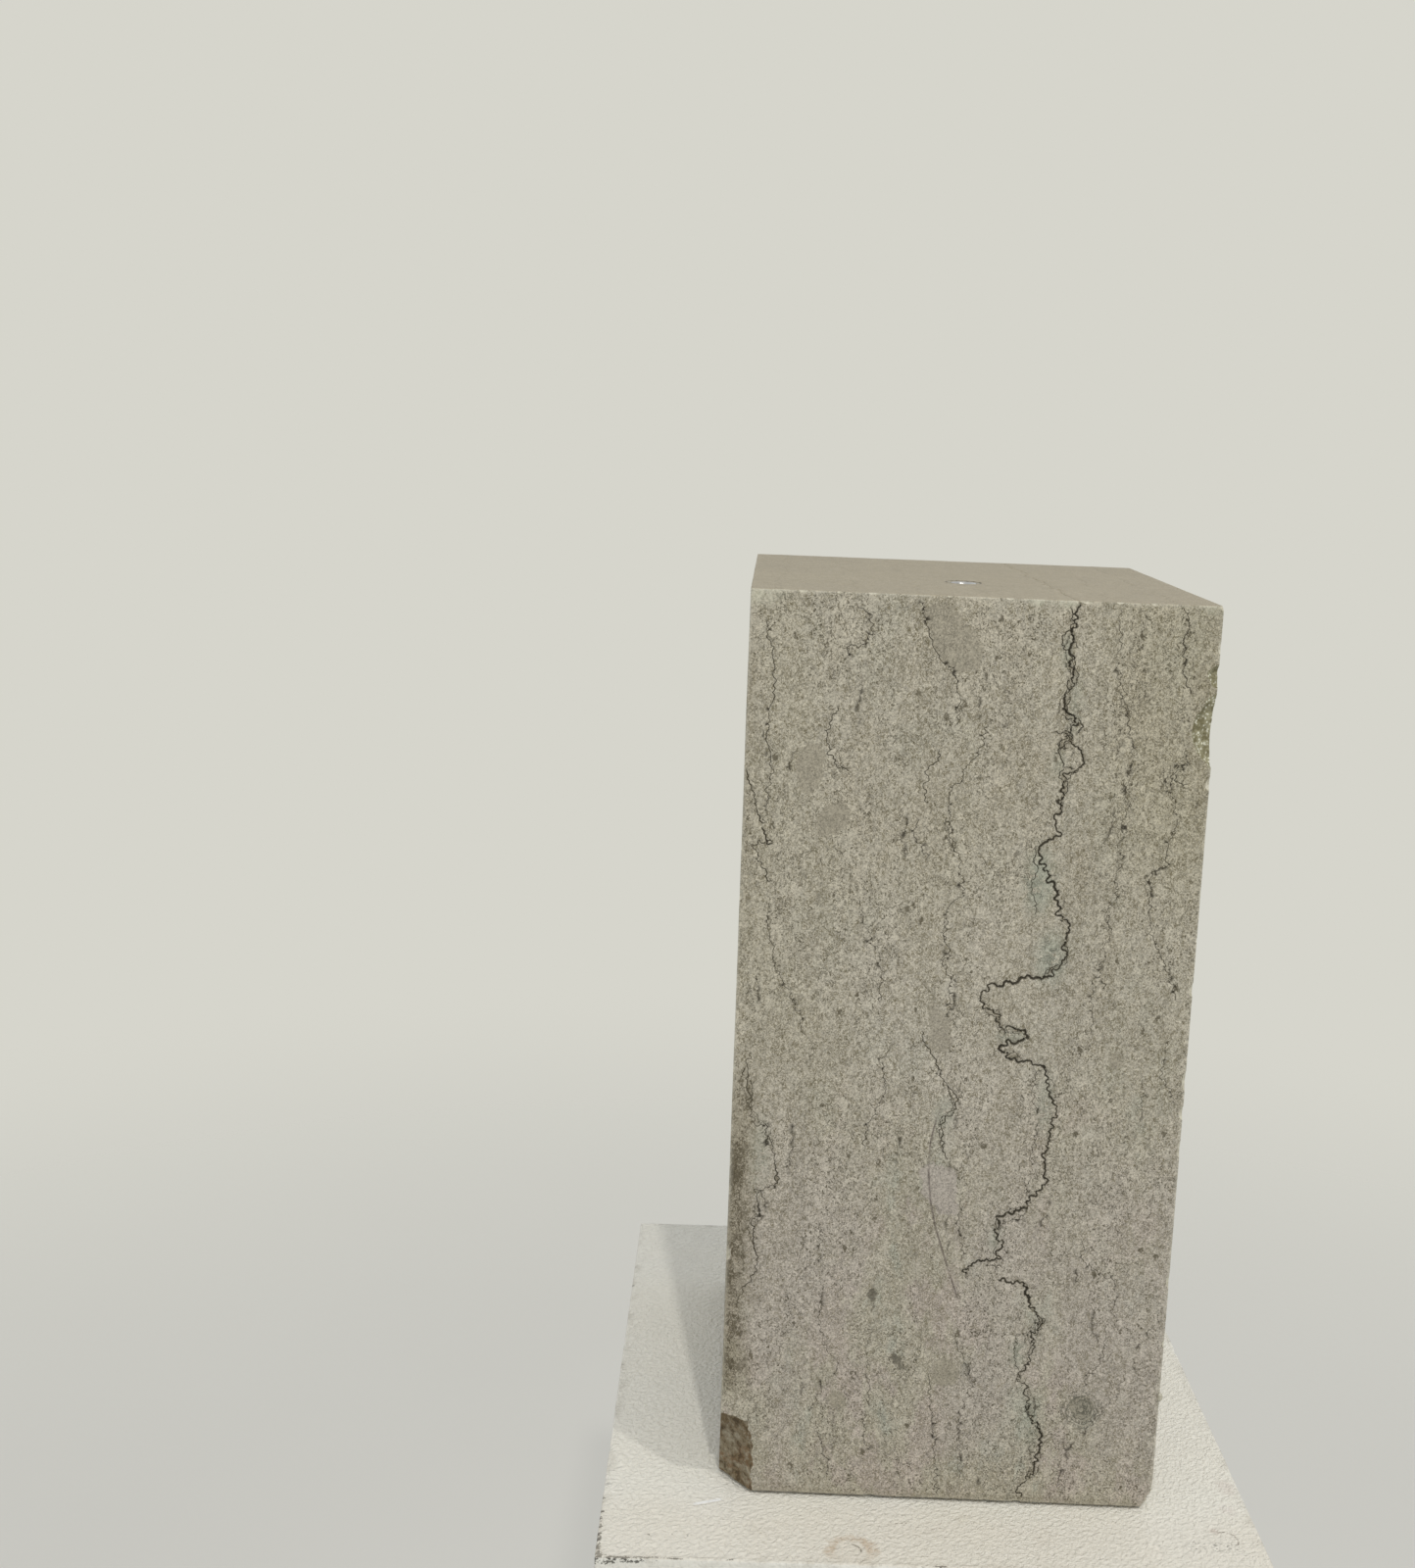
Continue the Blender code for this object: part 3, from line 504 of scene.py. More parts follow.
        # Dirt caught in the broken paint film at the front left corner.
        for (cx, cy), (hx, hy) in (((-0.1391, -0.1491), (0.0034, 0.00050)), ((-0.1274, -0.1488), (0.0046, 0.00036)), ((-0.1484, -0.1478), (0.0019, 0.0018)), ((-0.1157, -0.1490), (0.0030, 0.00030)), ((-0.1490, -0.1293), (0.0006, 0.0014)), ((-0.1488, -0.1374), (0.0007, 0.0015)), ((-0.1490, -0.1425), (0.0008, 0.0022)), ((-0.0908, -0.1487), (0.0012, 0.0004)), ((-0.1270, -0.1341), (0.00045, 0.00055)), ((-0.1170, -0.1333), (0.00035, 0.00035)), ((-0.1098, -0.1339), (0.00035, 0.00040))):
            _, q = f.near(f.mul(f.add(x, -cx), 1.0 / hx), f.mul(f.add(y, -cy), 1.0 / hy), (0.0, 0.0), 1.0, 0.1)
            blot = f.step(f.add(q, f.step(fine, 0.25, 0.75, -1.1, 1.1)), 1.25, 0.75)
            colour = f.mix(f.mul(blot, 0.86), colour, (0.075, 0.072, 0.055))
        # A fine broken dark line just in from the front arris: painted shadow, as if the lip of the front's paint film
        # shaded the top.
        lip_shadow_line = f.step(f.math("ABSOLUTE", f.add(f.add(y, 0.1481), f.step(mid, 0.2, 0.8, -0.00045, 0.00045))), 0.00050, 0.00012)
        colour = f.mix(f.mul(lip_shadow_line, f.step(f.noise(f.scaled(p, (0.25, 1.0, 1.0)), 210.0, 3.0, 0.6), 0.42, 0.60, 0.06, 0.50)), colour, (0.34, 0.32, 0.26))
        for at, reach in (((0.1335, -0.1265), 0.0052),):
            _, r2 = f.near(x, y, at, 0.01, 0.001)
            arc = f.mul(f.step(f.math("ABSOLUTE", f.add(r2, -reach)), 0.00060, 0.00018), f.step(f.add(x, y), at[0] + at[1] + 0.0004, at[0] + at[1] + 0.0016))
            arc = f.mul(arc, f.step(fine, 0.42, 0.52))
            colour = f.mix(f.mul(arc, 0.85), colour, (0.13, 0.10, 0.075))
        # Warmer where hands and sleeves pass, along the front.
        colour = f.mix(f.mul(f.step(f.add(y, f.mul(soft, 0.03)), -0.080, -0.112), f.add(0.16, f.mul(mid, 0.26))), colour, (0.770, 0.700, 0.590))
        # Pink-brown scuffs near the right arris and a few dark specks in a row.
        for at, size, amount, tone in (
            ((0.1290, -0.1205), 0.0030, 0.40, (0.520, 0.400, 0.340)),
            ((0.1440, -0.0900), 0.0055, 0.26, (0.640, 0.520, 0.480)),
            ((0.1400, -0.1060), 0.0045, 0.22, (0.640, 0.530, 0.500)),
            ((0.0500, -0.1290), 0.0070, 0.12, (0.600, 0.520, 0.420)),
            ((-0.0800, -0.1270), 0.0060, 0.10, (0.600, 0.540, 0.430)),
            ((0.0150, -0.1170), 0.0048, 0.16, (0.560, 0.500, 0.360)),
            ((-0.1487, -0.1006), 0.0022, 0.50, (0.420, 0.410, 0.380)),
        ):
            blot, _ = f.near(f.add(x, f.step(fine, 0.2, 0.8, -0.002, 0.002)), f.add(y, f.step(mid, 0.2, 0.8, -0.004, 0.004)), at, size * 0.2, size)
            colour = f.mix(f.mul(blot, amount), colour, tone)
        row = f.mul(f.step(f.math("ABSOLUTE", f.add(y, 0.1312)), 0.0042, 0.0012), f.mul(f.step(x, 0.1120, 0.1170), f.step(x, 0.1420, 0.1370)))
        dash = f.step(f.noise(f.scaled(p, (1.0, 1.9, 1.0)), 560.0, 3.0, 0.6), 0.58, 0.62)
        colour = f.mix(f.mul(f.mul(row, dash), 0.85), colour, (0.12, 0.11, 0.09))
        # One fresh white scratch, left of the block's broken foot.
        ax, ay = -0.1092, -0.1131
        ux, uy = 0.951, 0.309
        along = f.add(f.mul(f.add(x, -ax), ux), f.mul(f.add(y, -ay), uy))
        across = f.add(f.mul(f.add(x, -ax), -uy), f.mul(f.add(y, -ay), ux))
        line = f.mul(f.step(f.math("ABSOLUTE", across), 0.00115, 0.00055), f.mul(f.step(along, 0.0, 0.003), f.step(along, 0.0158, 0.0135)))
        # Painted shadow: a faint dark line 1.2 mm beside the scratch, as if its edge shaded the paint.
        scratch_shadow_line = f.mul(f.step(f.math("ABSOLUTE", f.add(across, 0.0012)), 0.0009, 0.0002), f.mul(f.step(along, 0.0, 0.002), f.step(along, 0.0155, 0.0135)))
        colour = f.mix(f.mul(scratch_shadow_line, 0.30), colour, (0.52, 0.47, 0.39))
        colour = f.mix(line, colour, (1.0, 1.0, 0.985))
        rub = f.step(f.noise(f.scaled(turned, (0.22, 1.0, 1.0)), 120.0, 3.0, 0.6), 0.60, 0.72)
        colour = f.mix(f.mul(rub, 0.06), colour, (0.60, 0.57, 0.49))
    else:
        # Dirt in the broken film just under the top, at the front left corner.
        for (cx, cz), (hx, hz) in (((-0.1343, 0.9984), (0.0052, 0.0005)), ((-0.1440, 0.9978), (0.0030, 0.0008))):
            _, q = f.near(f.mul(f.add(x, -cx), 1.0 / hx), f.mul(f.add(z, -cz), 1.0 / hz), (0.0, 0.0), 1.0, 0.1)
            blot = f.mul(f.step(y, -0.145, -0.149), f.step(f.add(q, f.step(fine, 0.25, 0.75, -1.1, 1.1)), 1.25, 0.75))
            colour = f.mix(f.mul(blot, 0.86), colour, (0.075, 0.072, 0.055))
        # Kick marks and mop grime low down, faint vertical wipe streaks higher up.
        low = f.step(z, 0.16, 0.012)
        wipe = f.noise(f.scaled(p, (1.0, 1.0, 0.07)), 70.0, 3.0, 0.6)
        colour = f.mix(f.mul(f.step(wipe, 0.52, 0.74), 0.05), colour, (0.56, 0.54, 0.48))
        scuff = f.noise(f.scaled(p, (1.0, 1.0, 3.2)), 46.0, 4.0, 0.65)
        colour = f.mix(f.mul(f.mul(low, f.step(scuff, 0.54, 0.68)), 0.34), colour, (0.42, 0.40, 0.36))
        colour = f.mix(f.mul(f.step(z, 0.045, 0.010), 0.20), colour, (0.50, 0.47, 0.40))
        mark = f.noise(f.scaled(f.shift(p, (3.0, 1.0, 2.0)), (1.0, 1.0, 2.6)), 21.0, 5.0, 0.7)
        colour = f.mix(f.mul(f.step(mark, 0.68, 0.74), 0.16), colour, (0.38, 0.37, 0.35))
    f.bump(f.add(peel, f.mul(fine, 0.22)), 0.0020 if top else 0.0010, 0.9)
    return f.done(colour, f.step(peel, 0.3, 0.7, 0.60, 0.50), specular=0.35)


def raw_mdf():
    f = Finish("raw_mdf")
    fibre = f.noise(f.scaled(f.p, (1.0, 1.0, 1.6)), 700.0, 4.0, 0.65)
    mott = f.noise(f.p, 60.0, 3.0, 0.55)
    colour = f.mix(f.step(fibre, 0.32, 0.68), (0.345, 0.228, 0.128), (0.455, 0.322, 0.196))
    colour = f.gain(colour, f.add(0.86, f.mul(mott, 0.28)))
    f.bump(fibre, 0.00018, 0.6)
    return f.done(colour, 0.86, specular=0.2)


def softwood(name, across):
    """Planed pine; across is the axis scale that stretches the grain along the piece."""
    f = Finish(name)
    q = f.scaled(f.p, across)
    warp = f.noise(q, 28.0, 3.0, 0.55)
    x, y, z = f.axes(q)
    ring = f.math("FRACT", f.mul(f.add(f.add(x, f.mul(y, 0.6)), f.mul(f.add(z, 0.0), 0.8)), 1.0))
    wave = f.node("ShaderNodeTexWave", out=1, props={"wave_type": "RINGS", "rings_direction": "SPHERICAL"}, Vector=f.shift(q, (0.05, 0.11, 0.02)), Scale=62.0, Distortion=3.5, Detail=3.0)
    fibre = f.noise(f.scaled(f.p, tuple(a * (1.0 if a > 0.5 else 0.5) for a in across)), 900.0, 3.0, 0.6)
    colour = f.mix(f.step(wave, 0.25, 0.85), (0.640, 0.452, 0.262), (0.470, 0.290, 0.142))
    colour = f.gain(colour, f.add(0.84, f.add(f.mul(fibre, 0.20), f.mul(warp, 0.12))))
    knot, _ = f.near(x, z, (0.03, 0.02), 0.002, 0.004)
    colour = f.mix(f.mul(knot, 0.5), colour, (0.20, 0.10, 0.05))
    f.bump(fibre, 0.00015, 0.5)
    return f.done(colour, 0.68, specular=0.3)


def plywood():
    """Birch ply: pale rotary-cut face, banded layers on its edges."""
    f = Finish("birch_ply")
    x, y, z = f.axes(f.p)
    nx, ny, nz = f.axes(f.normal)
    flat = f.step(f.math("ABSOLUTE", nz), 0.5, 0.8)
    swirl = f.node("ShaderNodeTexWave", out=1, props={"wave_type": "BANDS", "bands_direction": "Y"}, Vector=f.scaled(f.p, (0.18, 1.0, 1.0)), Scale=34.0, Distortion=9.0, Detail=3.0)
    pore = f.noise(f.scaled(f.p, (0.12, 1.0, 1.0)), 900.0, 3.0, 0.6)
    face = f.mix(f.step(swirl, 0.2, 0.9), (0.690, 0.545, 0.365), (0.600, 0.445, 0.275))
    face = f.gain(face, f.add(0.88, f.mul(pore, 0.24)))
    layer = f.math("FRACT", f.mul(z, 1.0 / 0.0028))
    edge = f.mix(f.step(f.math("ABSOLUTE", f.add(layer, -0.5)), 0.20, 0.28), (0.585, 0.430, 0.270), (0.330, 0.215, 0.120))
    edge = f.gain(edge, f.add(0.80, f.mul(f.noise(f.p, 700.0, 3.0, 0.6), 0.4)))
    f.bump(pore, 0.00012, 0.5)
    return f.done(f.mix(flat, edge, face), 0.62, specular=0.3)


def metal(name, light, dark, rough, patches=60.0, metallic=1.0):
    f = Finish(name)
    cloud = f.noise(f.p, patches, 4.0, 0.6)
    fine = f.noise(f.p, 1400.0, 3.0, 0.6)
    turned = f.noise(f.scaled(f.p, (1.0, 1.0, 9.0)), 420.0, 2.0, 0.5)
    colour = f.mix(f.step(cloud, 0.36, 0.64), light, dark)
    colour = f.gain(colour, f.add(0.86, f.mul(turned, 0.28)))
    colour = f.mix(f.mul(f.step(fine, 0.62, 0.74), 0.35), colour, tuple(c * 0.45 for c in dark))
    f.bump(turned, 0.00004, 0.4)
    return f.done(colour, f.step(cloud, 0.3, 0.7, rough * 0.82, rough * 1.25), metallic=metallic)


def nylon():
    f = Finish("moulded_nylon")
    fine = f.noise(f.p, 1600.0, 3.0, 0.6)
    dust = f.noise(f.p, 120.0, 4.0, 0.65)
    colour = f.mix(f.step(fine, 0.3, 0.7), (0.022, 0.022, 0.023), (0.036, 0.036, 0.037))
    colour = f.mix(f.mul(f.step(dust, 0.55, 0.75), 0.22), colour, (0.28, 0.27, 0.25))
    f.bump(fine, 0.00006, 0.6)
    return f.done(colour, f.step(dust, 0.3, 0.7, 0.42, 0.60))


def felt():
    f = Finish("wool_felt")
    a = f.noise(f.p, 2200.0, 4.0, 0.7, 1.5)
    b = f.noise(f.p, 420.0, 3.0, 0.6)
    colour = f.mix(f.step(a, 0.35, 0.65), (0.085, 0.082, 0.078), (0.215, 0.208, 0.198))
    colour = f.gain(colour, f.add(0.80, f.mul(b, 0.4)))
    f.bump(a, 0.0005, 0.9)
    return f.done(colour, 0.97, specular=0.1, Sheen_Weight=0.4)


def resin():
    f = Finish("anchor_resin")
    fine = f.noise(f.p, 1300.0, 3.0, 0.6)
    cloud = f.noise(f.p, 260.0, 3.0, 0.6)
    colour = f.mix(f.step(cloud, 0.35, 0.65), (0.36, 0.33, 0.26), (0.44, 0.41, 0.33))
    colour = f.mix(f.mul(f.step(fine, 0.62, 0.72), 0.5), colour, (0.16, 0.145, 0.12))
    f.bump(fine, 0.00012, 0.6)
    return f.done(colour, 0.48, specular=0.4)


STONE_SET = [sawn_limestone(), broken_limestone(), spalled_limestone(), fresh_limestone()]
PAINT_TOP = pedestal_paint("pedestal_paint_top", top=True)
# The sides' paint is a darker copy of the top's: painted shade.
PAINT_SIDE_SHADED = pedestal_paint("pedestal_paint_side_shaded")
MDF = raw_mdf()
PINE_UP = softwood("planed_pine_upright", (1.0, 1.0, 0.06))
PINE_X = softwood("planed_pine_across", (0.06, 1.0, 1.0))
PINE_Y = softwood("planed_pine_deep", (1.0, 0.06, 1.0))
PLY = plywood()
ZINC = metal("zinc_plate", (0.62, 0.62, 0.60), (0.52, 0.53, 0.53), 0.34)
STAINLESS = metal("stainless", (0.66, 0.655, 0.64), (0.58, 0.575, 0.56), 0.26)
RUSTY = metal("oxidised_wire", (0.10, 0.080, 0.066), (0.055, 0.042, 0.036), 0.62, 300.0, 0.6)
NYLON, FELT, RESIN = nylon(), felt(), resin()

# ================================================================ limestone block
# Seams on the front face: (across from the centre, up from the foot) in millimetres.
# Each entry: strength of the dark line, groove depth, half width, jitter, points.
FRONT_SEAMS = {
    "main": (1.00, 0.80, 0.76, 1.00, [(38.8, 419.6), (38.5, 413.1), (37.5, 405.6), (37.1, 399.9), (37.8, 395.3), (37.0, 390.9), (39.3, 386.8), (38.1, 382.0), (35.8, 375.3), (35.5, 373.4), (37.2, 371.2), (40.9, 369.4), (42.0, 366.8), (38.4, 364.7), (37.7, 362.8), (43.0, 356.5), (45.1, 348.0), (39.6, 346.2), (37.8, 344.8), (37.3, 339.0), (36.7, 333.1), (36.8, 326.3), (35.0, 324.7), (37.0, 323.1), (36.8, 317.6), (34.1, 315.5), (30.0, 314.6), (29.8, 308.5), (32.1, 301.8), (34.3, 297.3), (35.4, 295.7), (37.6, 289.9), (39.0, 284.0), (40.6, 279.1), (44.2, 277.3), (45.4, 273.4), (43.7, 270.3), (42.5, 268.3), (43.6, 263.3), (40.7, 258.2), (37.9, 256.1), (35.3, 252.4), (30.5, 252.8), (24.8, 251.1), (17.2, 249.6), (11.5, 248.0), (8.8, 244.8), (8.5, 240.8), (11.2, 236.9), (16.1, 235.1), (13.4, 232.5), (18.4, 229.5), (26.2, 228.4), (29.3, 225.9), (26.5, 223.7), (20.7, 223.5), (18.6, 220.0), (20.2, 216.0), (27.0, 215.2), (34.9, 213.5), (38.4, 212.7), (37.1, 208.5), (39.4, 203.5), (41.7, 198.5), (43.0, 193.4), (45.2, 189.4), (43.5, 185.2), (42.5, 180.0), (41.3, 174.7), (40.7, 168.5), (40.1, 162.2), (42.1, 156.1), (38.8, 152.8), (36.0, 149.5), (33.3, 146.2), (30.5, 143.1), (22.1, 141.1), (20.5, 139.2), (21.4, 134.7), (20.6, 130.0), (23.3, 128.3), (22.1, 123.2), (23.3, 120.5), (12.7, 118.7), (8.6, 115.7), (7.2, 113.3), (8.4, 110.6)]),
    "main_low": (1.00, 0.65, 0.66, 1.00, [(22.3, 109.9), (34.8, 109.3), (36.1, 105.4), (38.5, 102.0), (37.7, 97.3), (41.7, 95.2), (44.5, 91.3), (42.7, 85.9), (39.6, 83.4), (42.2, 77.7), (39.3, 71.7), (36.5, 64.5), (35.5, 62.1), (39.0, 58.7), (38.2, 55.1), (41.0, 51.7), (42.1, 44.6), (43.5, 40.0), (46.9, 37.7), (48.4, 31.8), (45.5, 25.7), (45.0, 16.1), (40.9, 11.1), (37.8, 7.3), (41.1, 1.5)]),
    "strand_top": (0.95, 0.30, 0.31, 0.75, [(35.9, 419.0), (37.0, 413.0), (36.4, 407.4), (32.9, 405.4), (32.6, 401.3), (35.8, 397.1), (37.4, 392.4)]),
    "strand_loop": (0.92, 0.30, 0.29, 0.75, [(31.0, 362.7), (38.1, 362.8), (38.7, 360.2), (35.2, 356.2), (34.5, 352.3), (37.3, 347.1)]),
    "strand_ring": (0.85, 0.25, 0.27, 0.75, [(41.5, 369.8), (43.4, 368.0), (44.6, 365.6), (43.2, 362.8), (41.2, 362.2)]),
    "strand_mid": (0.73, 0.20, 0.29, 0.75, [(27.6, 313.3), (26.5, 308.4), (27.7, 301.6), (26.5, 297.0), (26.1, 291.4), (28.3, 286.5), (29.1, 280.6)]),
    "strand_low": (0.61, 0.15, 0.27, 0.75, [(36.6, 211.6), (32.9, 208.3), (32.8, 201.2), (37.0, 187.0), (35.3, 176.6), (34.5, 164.1), (33.1, 155.7), (34.3, 148.4)]),
    "strand_foot": (0.73, 0.20, 0.29, 0.75, [(38.8, 85.7), (33.2, 82.0), (32.1, 74.9), (34.0, 70.3), (35.4, 64.5)]),
    "left_a": (0.76, 0.15, 0.27, 0.75, [(-93.4, 407.9), (-91.6, 398.6), (-89.4, 391.2), (-88.6, 383.6), (-88.9, 377.9), (-89.5, 370.3), (-90.6, 364.5), (-90.9, 356.9), (-89.6, 347.3), (-88.0, 339.7), (-89.9, 331.9), (-90.6, 324.1), (-91.2, 316.3)]),
    "left_crack": (0.95, 0.45, 0.33, 0.45, [(-99.8, 342.1), (-98.1, 336.4), (-95.5, 328.7), (-93.4, 322.0), (-91.2, 314.3), (-89.0, 308.5), (-86.2, 309.4)]),
    "left_loop": (0.95, 0.30, 0.29, 0.75, [(-86.2, 309.4), (-92.9, 309.9), (-95.7, 307.9), (-93.6, 302.5), (-90.5, 297.7), (-88.4, 292.3), (-86.1, 291.6)]),
    "left_b": (0.67, 0.12, 0.26, 0.75, [(-88.1, 282.7), (-88.1, 274.7), (-86.4, 264.9), (-83.1, 253.0), (-77.9, 243.2), (-72.6, 233.3), (-70.4, 225.3), (-68.3, 221.3)]),
    "left_c": (0.92, 0.25, 0.29, 0.80, [(-92.2, 214.2), (-94.8, 205.9), (-93.5, 195.7), (-92.2, 185.5), (-89.0, 179.4), (-85.1, 178.6), (-82.8, 171.4), (-79.6, 163.3), (-79.1, 150.7), (-88.8, 148.2), (-87.4, 140.9), (-86.9, 136.7), (-89.3, 132.1), (-88.5, 122.9), (-86.1, 116.1), (-87.9, 106.8), (-94.0, 97.2), (-94.9, 91.4)]),
    "left_d": (0.73, 0.12, 0.26, 0.75, [(-56.0, 415.0), (-49.2, 409.7), (-48.4, 404.1), (-51.0, 396.8), (-57.9, 396.2), (-58.6, 390.5)]),
    "left_e": (0.92, 0.15, 0.27, 0.80, [(-61.4, 371.4), (-63.9, 363.7), (-65.9, 357.9), (-64.3, 350.3), (-60.2, 344.7), (-54.4, 342.0)]),
    "left_f": (0.63, 0.10, 0.26, 0.80, [(-49.0, 286.3), (-46.7, 278.4), (-42.3, 266.7), (-38.9, 262.9), (-35.9, 253.0), (-36.5, 244.9), (-37.1, 237.8)]),
    "left_g": (0.73, 0.12, 0.26, 0.80, [(-29.5, 222.0), (-32.2, 216.8), (-34.9, 212.6), (-33.5, 204.5), (-32.1, 196.3), (-36.6, 187.9), (-39.2, 181.6), (-40.4, 173.3), (-39.7, 170.2)]),
    "mid_a": (0.92, 0.12, 0.26, 0.50, [(-28.6, 418.3), (-25.6, 410.6), (-23.7, 403.2), (-20.6, 395.8), (-16.6, 391.2), (-11.7, 387.6), (-10.4, 381.1), (-9.0, 373.5), (-9.6, 365.9), (-11.3, 362.9)]),
    "mid_b": (0.92, 0.15, 0.26, 0.75, [(-16.4, 354.1), (-16.1, 348.4), (-21.6, 344.7), (-22.2, 338.5), (-21.3, 328.8)]),
    "mid_c": (0.61, 0.10, 0.26, 0.75, [(-22.3, 323.0), (-25.8, 317.0), (-22.6, 311.3), (-18.4, 303.6)]),
    "mid_d": (0.68, 0.12, 0.26, 0.80, [(3.6, 366.4), (1.4, 354.8), (-4.7, 346.9), (-6.3, 341.1), (-12.2, 335.0), (-11.2, 327.3), (-9.6, 315.7), (-5.1, 304.1), (-3.7, 295.8), (-2.4, 290.2), (-6.9, 285.0), (-10.6, 281.9), (-9.6, 274.0), (-9.8, 268.1), (-7.6, 262.2), (-9.3, 258.1), (-6.4, 252.2), (-7.1, 244.2), (-4.9, 232.1), (-1.8, 227.2)]),
    "mid_e": (0.92, 0.22, 0.27, 0.75, [(-17.2, 227.6), (-14.9, 219.5), (-11.7, 213.6), (-8.4, 207.6), (-4.8, 201.6), (-0.9, 195.6), (-0.3, 190.5), (-5.2, 185.1), (-6.1, 183.0), (-5.6, 174.8), (-3.6, 165.7)]),
    "right_a": (0.61, 0.10, 0.26, 0.80, [(57.1, 417.6), (57.4, 408.2), (57.2, 395.1), (58.7, 381.9), (62.3, 370.7), (64.9, 361.2), (66.4, 353.6), (65.3, 342.0), (65.2, 330.4), (64.2, 318.7), (64.1, 307.0), (63.7, 298.5), (64.2, 291.0), (61.0, 282.9), (62.7, 273.1), (60.2, 267.0), (59.2, 259.0), (62.6, 247.1)]),
    "right_b": (0.92, 0.18, 0.27, 0.80, [(82.9, 419.5), (86.3, 411.2), (84.1, 403.7), (85.6, 396.2), (85.3, 388.6), (90.5, 381.3)]),
    "right_c": (0.67, 0.12, 0.26, 0.80, [(88.5, 358.3), (91.0, 350.8), (83.8, 346.6), (83.5, 338.9), (88.3, 325.5), (85.9, 319.6), (84.1, 305.9), (77.8, 301.4), (78.5, 291.6), (78.3, 281.7), (80.9, 271.9), (85.2, 265.1), (89.8, 256.3), (91.2, 250.3), (94.5, 244.4)]),
    "right_d": (0.61, 0.10, 0.26, 0.80, [(91.9, 228.2), (89.6, 219.9), (89.4, 209.7), (94.9, 201.8), (98.2, 195.8)]),
    "right_e": (0.54, 0.10, 0.26, 0.80, [(56.3, 254.9), (56.1, 242.8), (57.3, 234.8), (56.3, 226.6)]),
    "right_f": (0.54, 0.10, 0.26, 0.80, [(80.6, 211.4), (82.1, 203.3), (81.3, 193.0), (80.4, 186.8)]),
    "right_g": (0.61, 0.10, 0.26, 0.80, [(61.2, 131.8), (59.7, 122.6), (66.6, 116.0), (70.0, 113.4), (74.4, 111.7), (77.0, 104.9), (75.7, 93.2), (73.0, 86.1), (72.7, 74.4), (66.9, 64.7), (65.2, 57.5)]),
    "right_h": (0.56, 0.10, 0.26, 0.80, [(96.4, 96.5), (97.5, 89.5), (93.4, 87.0), (88.5, 79.8), (87.1, 70.3), (82.3, 60.7), (77.6, 51.0), (70.7, 41.2), (63.5, 33.7), (61.8, 26.5), (57.0, 16.7), (56.4, 2.2)]),
    "low_a": (0.56, 0.10, 0.26, 0.80, [(-61.0, 133.3), (-57.4, 124.3), (-58.0, 112.8), (-57.0, 101.2), (-56.8, 84.9), (-55.3, 75.6), (-49.6, 68.8), (-46.7, 62.4), (-53.5, 60.4), (-54.3, 52.1), (-58.3, 44.8), (-59.0, 35.3), (-54.2, 25.9), (-49.3, 14.1), (-50.1, 6.9)]),
    "low_b": (0.56, 0.10, 0.26, 0.80, [(-34.8, 78.9), (-33.5, 60.1), (-31.2, 48.4), (-35.1, 38.7), (-33.4, 26.9), (-29.9, 22.2)]),
    "low_c": (0.56, 0.10, 0.26, 0.80, [(4.1, 80.7), (11.2, 69.2), (14.1, 57.6), (10.4, 45.6), (8.9, 33.6), (10.8, 19.3), (10.7, 9.7)]),
    "low_d": (0.68, 0.12, 0.26, 0.75, [(-5.8, 63.8), (-3.9, 47.3), (-1.3, 28.3), (-0.3, 9.2), (2.0, 1.0)]),
    "low_e": (0.61, 0.10, 0.26, 0.80, [(4.5, 149.9), (3.6, 136.2), (5.9, 124.8), (5.9, 117.9)]),
    "spall_hook": (0.73, 0.15, 0.26, 0.75, [(85.5, 352.0), (84.6, 348.2), (85.8, 344.0), (89.0, 342.6), (92.0, 343.2)]),
}
# Smooth, violet-grey shell sections: strength, half width, points.
FRONT_SHELLS = {
    "long": (1.0, 0.62, [(-5.8, 195.4), (-9.1, 185.0), (-11.1, 174.5), (-11.2, 162.1), (-9.7, 147.5), (-8.1, 140.2), (-6.4, 133.4), (-2.5, 122.1), (1.3, 110.8), (5.6, 99.4), (7.6, 94.8)]),
    "faint": (0.42, 0.45, [(22.9, 110.6), (21.6, 95.4), (20.9, 81.4), (19.1, 64.9), (18.0, 45.9)]),
}
